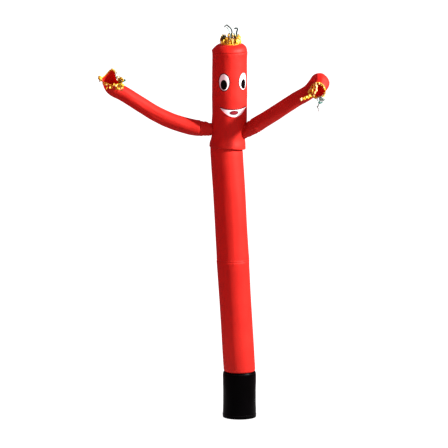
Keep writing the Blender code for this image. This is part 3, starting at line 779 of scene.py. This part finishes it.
share = np.linspace(-1.0, 1.0, MOUTH_COLUMNS + 1)
mouth_top = MOUTH_CORNER - MOUTH_TOP_SAG * (1 - share ** 2)
mouth_bottom = MOUTH_CORNER - MOUTH_END - MOUTH_BOTTOM_SAG * (1 - share ** 2)
mouth_rows = [
    np.stack([MOUTH_HALF_TURN * share,
              mouth_top + (mouth_bottom - mouth_top) * row / (MOUTH_ROWS - 1)], axis=1)
    for row in range(MOUTH_ROWS)]
face["mouth"] = patch("mouth_patch", mouth_rows, False, 0, white_nylon)
print("mouth is", round(2 * MOUTH_HALF_TURN * HEAD_RADIUS, 3), "m along its bow")

# %% [markdown]
# ## Stitching
#
# Every seam is sewn by machine. A row of stitches is one short bump of thread repeated along a
# line on the cloth, which is what instances on a curve are for. The same tree, with the bump
# turned across the line and set close, gives the zigzag round a patch. The line carries the
# cloth's normal at each of its points, so that the thread lies on the cloth all the way.

# %% The tree for a row of stitches
tree, size = new_tree("row_of_stitches", dict.fromkeys(
    ("pitch", "length along", "length across", "height"), "Float"))
line = node(tree, "GeometryNodeMeshToCurve", {"Mesh": size["Geometry"]})
even = node(tree, "GeometryNodeResampleCurve", {"Curve": line, "Length": size["pitch"]},
            mode="LENGTH")
along = node(tree, "GeometryNodeInputTangent")
out = node(tree, "GeometryNodeInputNamedAttribute", {"Name": "out"}, data_type="FLOAT_VECTOR")
headed = node(tree, "FunctionNodeAlignRotationToVector", {"Vector": along}, axis="X")
upright = node(tree, "FunctionNodeAlignRotationToVector", {"Rotation": headed, "Vector": out},
               axis="Z", pivot_axis="X")
bump = node(tree, "GeometryNodeMeshUVSphere", {"Segments": 6, "Rings": 4, "Radius": 0.5})
extent = node(tree, "ShaderNodeCombineXYZ", {
    "X": size["length along"], "Y": size["length across"], "Z": size["height"]})
sewn = node(tree, "GeometryNodeInstanceOnPoints", {
    "Points": even, "Instance": bump, "Rotation": upright, "Scale": extent})
stitch_tree = close_tree(tree, sewn, size["material"])


def line_piece(name, titles, runs):
    """Edges along runs of points; a run also gives each titled field, and whether it closes."""
    points, edges, fields = [], [], {title: [] for title in titles}
    for run_points, *values, closed in runs:
        first, count = len(points), len(run_points)
        points += list(run_points)
        steps = range(count if closed else count - 1)
        edges += [(first + k, first + (k + 1) % count) for k in steps]
        for title, value in zip(titles, values):
            fields[title] += list(value) if np.ndim(value) else [value] * count
    return add_piece(name, points, edges, **fields)


# %% Thread
def thread(name, colour):
    """Spun polyester thread: matt, close to the cloth's colour, its twist too fine to show."""
    made, tree, shader = new_material(name)
    where = node(tree, "ShaderNodeTexCoord").outputs["Object"]
    shade = node(tree, "ShaderNodeTexNoise", {"Vector": where, "Scale": 60.0, "Detail": 2.0})
    pale = tuple(min(1.0, 1.35 * c + 0.002) for c in linear(colour)[:3]) + (1.0,)
    mixed = node(tree, "ShaderNodeMix", {
        0: shade.outputs["Fac"], MIX_A: linear(colour), MIX_B: pale}, data_type="RGBA")
    feed(shader, {
        "Base Color": mixed.outputs[MIXED], "Roughness": 0.55, "Specular IOR Level": 0.25})
    return made


red_thread = thread("spun_red_polyester_thread", "C8362A")
black_thread = thread("spun_black_polyester_thread", "141013")
maroon_thread = thread("spun_maroon_polyester_thread", "560815")
print("made", red_thread.name, black_thread.name, maroon_thread.name)

# %% Seams of the tubes: lines up the back, then rings
# A lockstitch is 4 mm long in 0.6 mm thread. It is drawn 9.5 mm long and 2.2 mm wide to show.
LOCKSTITCH = {"pitch": 0.0125, "length along": 0.0095, "length across": 0.0022, "height": 0.0018}


def seam_lines(seams):
    """Lines of stitches from finished tubes' lay and sides, columns up the back, and rings."""
    grids = [([a.reshape(-1, sides, 3) for a in lay], columns, rings)
             for lay, sides, columns, rings in seams]
    ups = [(points[2:-2, c], normals[2:-2, c], False)
           for (points, normals), columns, _ in grids for c in columns]
    rounds = [(points[r], normals[r], True)
              for (points, normals), _, rings in grids for r in rings]
    return ups + rounds


red_lines = seam_lines([
    (lay_of(lower_a), BODY_SIDES, (1, -1), (3, -3)), (lay_of(lower_b), BODY_SIDES, (1, -1), (2,)),
    (whole_torso, BODY_SIDES, (1, -1), (-3,)), (lay_of(dome), BODY_SIDES, (1, -1), (2, -3)),
    (lay_of(shoulder_left), ARM_SIDES, (1,), (2, -2)),
    (lay_of(shoulder_right), ARM_SIDES, (1,), (2, -2)),
    (lay_of(arm_left), ARM_SIDES, (1,), (2, -3)), (lay_of(arm_right), ARM_SIDES, (1,), (2, -3))])
red_stitches = line_piece("red_seam_stitches", ["out"], red_lines)
grow(red_stitches, stitch_tree, red_thread, LOCKSTITCH)
sleeve_lines = seam_lines([(lay_of(sleeve), BODY_SIDES, (1, -1), (5, -4))])
black_stitches = line_piece("sleeve_stitches", ["out"], sleeve_lines)
grow(black_stitches, stitch_tree, black_thread, LOCKSTITCH)

# %% Zigzag round the patches
ZIGZAG = {"pitch": 0.0024, "length along": 0.0026, "height": 0.0022}


def zigzag(name, edges, layer, closed, wide, material):
    """Zigzag on the head along edges of (way round, height), at the top of this layer's patch."""
    lift = (layer + 1) * (PATCH_CLOTH + LAY_GAP)
    runs = []
    for edge in edges:
        placed = [on_head(turn, z, lift) for turn, z in edge]
        runs.append(([p for p, _ in placed], [n for _, n in placed], closed))
    sizes = {**ZIGZAG, "length across": wide}
    return grow(line_piece(name, ["out"], runs), stitch_tree, material, sizes)


eye_edges = [oval_edge("eye_left"), oval_edge("eye_right")]
outlines = [
    zigzag("eye_zigzag", eye_edges, 0, True, 0.0075, black_thread),
    # A wide dark maroon line along the mouth's top edge, drawn by the stitch tree and wider than
    # the line along its lower edge.
    zigzag("mouth_top_dark_line", mouth_rows[:1], 0, False, 0.0095, maroon_thread),
    zigzag("mouth_lower_zigzag", mouth_rows[-1:], 0, False, 0.003, red_thread),
    zigzag("tongue_zigzag", [oval_edge("tongue")], 1, True, 0.0085, maroon_thread)]

# %% [markdown]
# ## Ribbons and metallic strips
#
# Each open edge is bound with yellow satin ribbon, and loose ends of it stand up from the binding,
# curl over and hang. Strips of metallised film flutter among them. A ribbon is one narrow section
# swept along a path, so a tree sweeps it: the path's points carry the ribbon's width, the
# direction that its width lies in, and a tone that makes each one a little different. The tone
# picks painted light: from painted shade to painted highlight on a ribbon, and from dark to pale
# painted reflection on a strip of film. Each loose end is drawn in three parts, the stand, the
# curl and the hang, and is twisted as it goes.

# %% The tree that sweeps ribbons
tree, size = new_tree("swept_ribbons", {"bow": "Float", "columns": "Int"})
path = node(tree, "GeometryNodeMeshToCurve", {"Mesh": size["Geometry"]})
side, wide = (node(tree, "GeometryNodeInputNamedAttribute", {"Name": title}, data_type=kind)
              for title, kind in (("side", "FLOAT_VECTOR"), ("wide", "FLOAT")))
faced = node(tree, "GeometryNodeSetCurveNormal", {"Curve": path, "Normal": side}, mode="FREE")
across = node(tree, "GeometryNodeCurvePrimitiveLine", {
    "Start": (-0.5, 0.0, 0.0), "End": (0.5, 0.0, 0.0)})
parts = node(tree, "GeometryNodeResampleCurve", {"Curve": across, "Count": size["columns"]})
apart = node(tree, "ShaderNodeSeparateXYZ", {0: node(tree, "GeometryNodeInputPosition")})
square = node(tree, "ShaderNodeMath", {0: apart, 1: apart}, operation="MULTIPLY")
rise = node(tree, "ShaderNodeMath", {0: square, 1: size["bow"]}, operation="MULTIPLY")
lift = node(tree, "ShaderNodeCombineXYZ", {"Y": rise})
bowed = node(tree, "GeometryNodeSetPosition", {"Geometry": parts, "Offset": lift})
swept = node(tree, "GeometryNodeCurveToMesh", {
    "Curve": faced, "Profile Curve": bowed, "Scale": wide})
smooth = node(tree, "GeometryNodeSetShadeSmooth", {"Geometry": swept})
ribbon_tree = close_tree(tree, smooth, size["material"])


def ribbon_piece(name, runs, material, thickness, bow):
    """One mesh of swept ribbons from runs of (points, sides, width, tone, closed)."""
    piece = line_piece(name, ["side", "wide", "tone"], runs)
    grow(piece, ribbon_tree, material, {"bow": bow, "columns": 5})
    return thicken(piece, thickness, 0.0)


# %% Satin and metallised film
def satin(name, tones_with_painted_light, roughness, metallic, crinkle):
    """A ribbon or film whose tone picks a colour on a ramp of painted light, with painted patches
    of the ramp's darkest tone, and a crinkle.
    """
    made, tree, shader = new_material(name)
    where = node(tree, "ShaderNodeTexCoord").outputs["Object"]
    tone = node(tree, "ShaderNodeAttribute", attribute_name="tone")
    ramp = node(tree, "ShaderNodeValToRGB", {0: tone.outputs["Fac"]})
    stops = ramp.color_ramp.elements
    for place in np.linspace(0.0, 1.0, len(tones_with_painted_light))[1:-1]:
        stops.new(place)
    for stop, shade in zip(stops, tones_with_painted_light):
        stop.color = linear(shade)
    painted_dark_patches = node(tree, "ShaderNodeTexNoise", {"Vector": where, "Scale": 45.0, "Detail": 2.0})
    spread = node(tree, "ShaderNodeMapRange", {
        "Value": painted_dark_patches.outputs["Fac"], "From Min": 0.35, "From Max": 0.7, "To Max": 0.3})
    mixed = node(tree, "ShaderNodeMix", {0: spread, MIX_A: ramp, MIX_B: linear(tones_with_painted_light[0])},
                 data_type="RGBA")
    folds = node(tree, "ShaderNodeTexNoise", {"Vector": where, "Scale": crinkle, "Detail": 2.0})
    relief = node(tree, "ShaderNodeBump", {
        "Height": folds.outputs["Fac"], "Strength": 0.4, "Distance": 0.002})
    feed(shader, {"Base Color": mixed.outputs[MIXED], "Normal": relief,
                  "Roughness": roughness, "Metallic": metallic})
    return made


# Satin's long floats show as a soft gloss; its tones run from a shaded amber, which is painted
# shade, to a pale bright yellow, which is painted highlight.
yellow_satin = satin("yellow_polyester_satin", ("94730D", "C29819", "D9B32A", "E2C850", "EADD9C"),
                     0.4, 0.0, 120.0)
# Metallised polyester film is a mirror full of creases, green in tint. What it mirrors is painted
# into its colour as painted reflection, from near black through grey to pale grey.
grey_film = satin("grey_green_metallised_film", ("161F1A", "3A9484", "94ABA2", "CDE2DA"),
                  0.32, 0.3, 220.0)
RIBBON_LOOK = (yellow_satin, 0.0005, 0.5)      # material, thickness, bow
FILM_LOOK = (grey_film, 0.0003, 0.3)
print("made", yellow_satin.name, grey_film.name)

# %% A loose end: it stands, curls over and hangs
RIBBON_STEP = 0.004
STAND_LEAN = 0.1          # share of its height that a standing end leans out
SWAY, SWAY_BEATS = 0.003, 1.3
SWAY_HEIGHT = 0.03        # an end shorter than this sways less


def spread_of(low, high):
    return CHANCE.uniform(low, high)


def curled_end(foot, up, over, height, radius, turn, drop, side_turn):
    """A ribbon that stands up, curls over by turn on a small radius, and hangs on from there."""
    up, over = unit(np.array(up, float)), np.array(over, float)
    over = unit(over - up * (over @ up))
    side = np.cross(up, over)
    stand = np.linspace(0.0, 1.0, max(4, int(height / RIBBON_STEP)))[:, None]
    points = [foot + stand * height * up + STAND_LEAN * height * np.sin(math.pi * stand) * over]
    angle = np.linspace(0.0, turn, max(6, int(turn * radius / (0.6 * RIBBON_STEP))))[1:, None]
    hub = points[0][-1] + radius * over
    points.append(hub + radius * (-np.cos(angle) * over + np.sin(angle) * up))
    onward = math.sin(turn) * over + math.cos(turn) * up
    hang = np.linspace(0.0, 1.0, max(3, int(drop / RIBBON_STEP)))[1:, None]
    points.append(points[-1][-1] + drop * hang * unit(onward - 0.5 * hang * over))
    points = np.concatenate(points)
    run = run_of(points)[:, None] / run_of(points)[-1]
    sway = SWAY * np.sin(math.tau * (SWAY_BEATS * run + spread_of(0, 1)))
    points = points + sway * min(1.0, height / SWAY_HEIGHT) * run * side
    ways = unit(np.gradient(points, axis=0))
    return points, np.cos(side_turn * run) * side + np.sin(side_turn * run) * np.cross(ways, side)


# %% Ribbons of the vent
VENT_RADIUS, VENT_TOP, BINDING = DOME[-1][2], 3.0425, 0.011
VENT_ENDS, VENT_FALLS, BINDING_SIDES = 54, 14, 96
VENT_CENTRE = HEM + np.array([DOME[-1][1], 0.0, VENT_TOP])

spoke = flat_ring(math.tau * np.arange(BINDING_SIDES) / BINDING_SIDES)
facings = np.tile(UP, (BINDING_SIDES, 1))
vent_runs = [(VENT_CENTRE + VENT_RADIUS * spoke, facings, BINDING, 0.45, True)]
for k in range(VENT_ENDS):
    angle = math.tau * (k + spread_of(-0.3, 0.3)) / VENT_ENDS
    out, along = flat_ring(angle), flat_ring(angle + math.pi / 2)
    front = max(0.0, -out[1])
    height = spread_of(0.03, 0.064) - 0.01 * front
    way = UP - out * spread_of(0.0, 0.28)
    over = out * spread_of(-1.0, 1.0) + along * spread_of(-1.0, 1.0)
    foot = VENT_CENTRE + (VENT_RADIUS - 0.002 - 0.004 * (k % 2)) * out - 0.004 * UP
    end = curled_end(foot, way, over, height, radius=spread_of(0.005, 0.01),
                     turn=spread_of(2.0, 4.4), drop=spread_of(0.004, 0.02),
                     side_turn=spread_of(-1.2, 1.2))
    vent_runs.append((*end, spread_of(0.009, 0.0145), spread_of(0.0, 1.0), False))
for k in range(VENT_FALLS):            # shorter ends that fall forward over the binding
    out = flat_ring(math.radians(spread_of(-165, -15)))
    foot = VENT_CENTRE + (VENT_RADIUS - 0.005) * out
    end = curled_end(foot, UP, over=out + CHANCE.normal(0, 0.3, 3),
                     height=spread_of(0.016, 0.04), radius=spread_of(0.007, 0.011),
                     turn=spread_of(2.5, 3.1), drop=spread_of(0.018, 0.038),
                     side_turn=spread_of(-0.6, 0.6))
    vent_runs.append((*end, spread_of(0.01, 0.014), spread_of(0.35, 1.0), False))
vent_ribbons = ribbon_piece("vent_fringe_ribbons", vent_runs, *RIBBON_LOOK)

# %% Loose ends round the hands' mouths
HAND_CELLS, CELLS_EACH = 20, 2.0   # places round a mouth, and how many of them a group covers
RIM_REACH = 0.004                  # the binding's middle stands this far past the rim
# Place, how many, width, way up, way over, standing height, curl radius, turn, hanging length.
LEFT_ENDS = [
    (-0.6, 5, 0.011, (-0.25, -0.1, 1.0), (1.0, 0.0, 0.0), 0.007, 0.005, 3.6, 0.003),
    (4.4, 9, 0.012, (-0.8, -0.35, 0.25), (0.0, -0.2, 1.0), 0.018, 0.0075, 4.2, 0.01),
    (6.6, 3, 0.011, (-0.2, -0.85, -0.3), (0.0, -0.2, -1.0), 0.012, 0.008, 2.6, 0.012),
    (8.0, 3, 0.011, (0.2, -0.75, -0.65), (-1.0, 0.0, 0.0), 0.026, 0.008, 1.2, 0.012),
    (9.4, 4, 0.012, (0.6, -0.75, -0.05), (0.0, 0.0, 1.0), 0.012, 0.008, 3.4, 0.008),
    (11.0, 6, 0.012, (0.15, -0.7, -0.65), (1.0, 0.0, -0.3), 0.034, 0.008, 1.8, 0.02),
    (12.3, 6, 0.012, (0.75, -0.5, -0.3), (0.0, 0.0, -1.0), 0.034, 0.009, 3.2, 0.014),
    (13.6, 10, 0.012, (0.85, -0.35, 0.25), (0.0, -0.2, 1.0), 0.036, 0.009, 4.2, 0.01),
    (17.6, 3, 0.011, (0.6, -0.2, 0.7), (1.0, 0.0, 0.0), 0.01, 0.006, 3.2, 0.004)]
RIGHT_ENDS = [
    (1.2, 6, 0.012, (-0.05, -0.55, -0.8), (-1.0, 0.0, 0.2), 0.022, 0.007, 1.6, 0.012),
    (3.6, 5, 0.011, (0.05, -0.9, -0.35), (-0.8, 0.0, -0.6), 0.008, 0.006, 2.8, 0.008),
    (6.0, 7, 0.012, (-0.05, -0.9, -0.3), (0.0, 0.0, -1.0), 0.005, 0.006, 3.0, 0.006),
    (11.0, 4, 0.012, (-0.2, -0.8, -0.55), (0.2, 0.0, -1.0), 0.022, 0.008, 1.8, 0.014),
    (13.6, 6, 0.012, (-0.75, -0.6, -0.2), (0.0, 0.0, -1.0), 0.012, 0.008, 2.6, 0.012),
    (16.0, 4, 0.012, (-0.3, -0.7, -0.6), (0.0, -0.4, -1.0), 0.01, 0.007, 2.4, 0.008)]


def mouth_of(piece):
    """An arm's last ring, and the way the cloth runs on from it."""
    rings = lay_of(piece)[0].reshape(-1, ARM_SIDES, 3)
    along = unit(np.roll(rings[-1], -1, axis=0) - np.roll(rings[-1], 1, axis=0))
    onward = unit(rings[-1] - rings[-4])
    return rings[-1], unit(onward - along * (onward * along).sum(axis=1, keepdims=True))


def hand_runs(mouth, ends):
    rim, onward = mouth
    runs = [(rim + RIM_REACH * onward, onward, BINDING, 0.5, True)]
    for cell, count, width, up, over, height, radius, turn, drop in ends:
        for k in range(count):
            place = (cell + CELLS_EACH * (k + 0.5) / count + spread_of(-0.15, 0.15)) / HAND_CELLS
            foot = rim[int(round(((place - 0.25) % 1.0) * ARM_SIDES)) % ARM_SIDES]
            end = curled_end(
                foot, up=np.array(up) + CHANCE.normal(0, 0.16, 3),
                over=np.array(over) + CHANCE.normal(0, 0.35, 3),
                height=height * spread_of(0.6, 1.3), radius=radius * spread_of(0.75, 1.25),
                turn=turn * spread_of(0.75, 1.2), drop=drop * spread_of(0.6, 1.4),
                side_turn=spread_of(-1.2, 1.2))
            runs.append((*end, width * spread_of(0.85, 1.2), spread_of(0.1, 1.0), False))
    return runs


mouth_left, mouth_right = mouth_of(arm_left), mouth_of(arm_right)
middle_left, middle_right = mouth_left[0].mean(axis=0), mouth_right[0].mean(axis=0)
left_ribbons = ribbon_piece("left_hand_ribbons", hand_runs(mouth_left, LEFT_ENDS), *RIBBON_LOOK)

# %% Long ribbons that the wind blows from the right hand
def from_middle(middle, *places):
    """Points by their millimetres to the right of a place, forward of it and above it."""
    return np.array(middle) + np.array([(x, -y, z) for x, y, z in places]) / 1000


def even_line(points):
    """A smooth line through a few given points in short steps, with its ways and its run."""
    at = run_of(points)
    run = np.linspace(0.0, at[-1], max(8, int(at[-1] / RIBBON_STEP)))
    line = smooth_through(at, points, run, limited=False)
    return line, unit(np.gradient(line, run, axis=0)), run


WAVE_OUT, WAVE_ASIDE = 0.6, 0.8    # how a wave divides between its face's way and its side's


def waved_run(points, side, width, tone, wave, pitch=0.03):
    """A ribbon along a few given points that keeps its face to one side and waves as it goes."""
    line, ways, run = even_line(points)
    side = unit(np.array(side) - ways * (ways @ np.array(side))[:, None])
    beat = wave * np.sin(math.tau * run / pitch)[:, None]
    line = line + beat * (WAVE_OUT * np.cross(ways, side) + WAVE_ASIDE * side)
    return line, side, width, tone, False


# Places along it from the mouth's middle, side, width, tone, wave and its pitch.
BLOWN = [
    (((-46, -22, -42), (-64, 4, -55), (-90, 12, -64), (-116, 12, -74), (-140, 10, -82)),
     (-0.45, 0.1, 0.9), 0.022, 0.4, 0.0035),
    (((-50, -22, -34), (-70, 8, -50), (-96, 18, -60), (-122, 16, -72)),
     (-0.45, 0.3, 0.9), 0.013, 0.65, 0.0045, 0.024),
    (((-120, 14, -70), (-132, 18, -76), (-144, 14, -80)),
     (-0.45, 0.3, 0.9), 0.02, 1.0, 0.003, 0.024),
    (((-12, 6, 58), (-10, 26, 34), (-10, 28, 4), (-24, 26, -26), (-36, 6, -50)),
     (1.0, 0.2, 0.1), 0.013, 0.95, 0.0025),
    (((-34, 0, 46), (-30, 18, 24), (-40, 22, -4), (-42, 10, -30)),
     (1.0, 0.2, 0.1), 0.012, 0.7, 0.0025)]
right_runs = hand_runs(mouth_right, RIGHT_ENDS)
right_runs += [waved_run(from_middle(middle_right, *places), *rest) for places, *rest in BLOWN]
right_ribbons = ribbon_piece("right_hand_ribbons", right_runs, *RIBBON_LOOK)

# %% Strips of film
FILM_WIDTH = 0.0065   # real strips are 4 mm wide; they are drawn wider to show
CRIMP, CRIMP_RATE, MOST_TWIST = 0.0012, 900.0, 30


def film_run(points, tone, width=FILM_WIDTH):
    """A strip along a few given points, smoothed, crimped, and slowly twisting as it goes."""
    line, ways, run = even_line(points)
    first = unit(np.cross(ways, CHANCE.normal(0, 1, 3)))
    spin = (spread_of(0, math.tau) + run * spread_of(-MOST_TWIST, MOST_TWIST))[:, None]
    sides = np.cos(spin) * first + np.sin(spin) * np.cross(ways, first)
    return line + CRIMP * np.sin(run * CRIMP_RATE)[:, None] * first, sides, width, tone, False


def tangle(middle, start, low, high, count, tones, stops=5, width=FILM_WIDTH):
    """Strips that leave one place and wander about the middle of the box from low to high."""
    runs, centre, reach = [], (np.array(low) + high) / 2, (np.array(high) - low) / 4
    for k in range(count):
        places = [np.array(start) + CHANCE.normal(0, 2.0, 3)]
        places += [centre + np.clip(CHANCE.normal(0, 1, 3), -2, 2) * reach for stop in range(stops)]
        runs.append(film_run(from_middle(middle, *places), spread_of(*tones), width))
    return runs


# A strip's tone picks its painted reflection on the film's ramp, from near black at 0 to pale grey
# at 1.
FLAT_FILMS = [   # places, tone, width
    (((-4, 20, -10), (2, 18, 25), (8, 16, 66), (10, 14, 104), (3, 12, 120), (-16, 10, 138),
      (-30, 8, 148), (-43, 8, 142), (-46, 8, 130)), 0.03, 0.0095),
    (((-8, 28, -10), (-3, 24, 30), (0, 20, 70), (-8, 16, 98), (-22, 14, 122), (-32, 12, 130)),
     0.62, 0.0085),
    (((50, 14, -10), (49, 14, 35), (48, 12, 74), (50, 12, 98), (55, 10, 110), (53, 8, 122),
      (38, 8, 122), (30, 8, 118)), 0.05, 0.011)]
TWISTED_FILMS = [
    (((32, 30, -10), (30, 26, 25), (22, 22, 60), (19, 20, 88)), 0.75, 0.0085),
    (((26, 34, -10), (32, 28, 22), (36, 24, 54), (26, 20, 86)), 0.05, 0.0085),
    (((42, 40, -8), (38, 34, 20), (44, 28, 48), (54, 24, 72)), 0.6, 0.0085)]
vent_films = [
    waved_run(from_middle(VENT_CENTRE, *places), (0.7, 0.0, 0.7), width, tone, 0.0008, 0.012)
    for places, tone, width in FLAT_FILMS]
vent_films += [
    film_run(from_middle(VENT_CENTRE, *places), *rest) for places, *rest in TWISTED_FILMS]
vent_films += tangle(VENT_CENTRE, (-52, 36, -4), (-74, 34, 30), (-34, 60, 76), 7, (0.0, 0.16),
                     width=0.007)
vent_film = ribbon_piece("vent_film_strips", vent_films, *FILM_LOOK)

# %% Film in the hands
LONG_FILM = ((12, -8, -58), (15, 6, -96), (6, 8, -124), (-3, 8, -146), (10, 8, -158),
             (6, 8, -168), (2, 8, -182))

left_films = []
for films in (((62, 6, -20), (86, 0, -14), (114, 24, 8), 4, (0.0, 0.3)),
              ((42, -24, 4), (34, -30, 8), (54, -6, 34), 2, (0.7, 1.0)),
              ((-70, 8, 0), (-100, 0, -16), (-74, 24, 22), 2, (0.7, 1.0))):
    left_films += tangle(middle_left, *films)
right_films = tangle(middle_right, (4, -12, -60), (-8, -4, -98), (64, 22, -62), 8, (0.62, 1.0))
right_films += tangle(middle_right, (20, -10, -58), (-8, 0, -112), (52, 20, -98), 3, (0.3, 0.38))
right_films += [film_run(from_middle(middle_right, *LONG_FILM), 0.8, 0.0095)]
right_films += tangle(middle_right, (2, 8, -142), (-12, 0, -150), (14, 12, -132), 2, (0.6, 0.8), 3)
left_film = ribbon_piece("left_hand_film_strips", left_films, *FILM_LOOK)
right_film = ribbon_piece("right_hand_film_strips", right_films, *FILM_LOOK)

# %% [markdown]
# ## Putting the figure together
#
# Every red tube is cloth of one thickness and the sleeve is heavier, so thickness comes last. The
# whole figure is one body: what moves a real one is air and not a joint. A table pairs each piece
# with the imported solid that it stands for, which is then hidden, and lists it under the record's
# finish that it takes.

# %% Thickness, body, solids and finishes
STANDS_FOR = {
    "red_nylon": {lower_a: "lower_tube_a", lower_b: "lower_tube_b", torso: "upper_tube",
                  dome: "head_top", shoulder_left: "shoulder_left",
                  shoulder_right: "shoulder_right", arm_left: "arm_left", arm_right: "arm_right"},
    "black_nylon": {sleeve: "base_sleeve", face["pupil_left"]: "pupil_left",
                    face["pupil_right"]: "pupil_right"},
    "white_nylon": {face["eye_left"]: "eye_left", face["eye_right"]: "eye_right",
                    face["mouth"]: "mouth"},
    "rose_nylon": {face["tongue"]: "tongue"},
    "yellow_ribbon": {vent_ribbons: "vent_fringe", left_ribbons: "hand_fringe_left",
                      right_ribbons: "hand_fringe_right"},
    "grey_green_tinsel": {vent_film: "vent_tinsel", left_film: "hand_tinsel_left",
                          right_film: "hand_tinsel_right"}}
for piece in STANDS_FOR["red_nylon"]:
    thicken(piece, CLOTH)
thicken(sleeve, SLEEVE_CLOTH)
for finish, pieces in STANDS_FOR.items():
    for piece, solid in pieces.items():
        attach(piece, "root")
        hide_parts(solid)
for piece in [red_stitches, black_stitches] + outlines:
    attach(piece, "root")
print("pieces stand for", sum(len(pieces) for pieces in STANDS_FOR.values()), "solids")
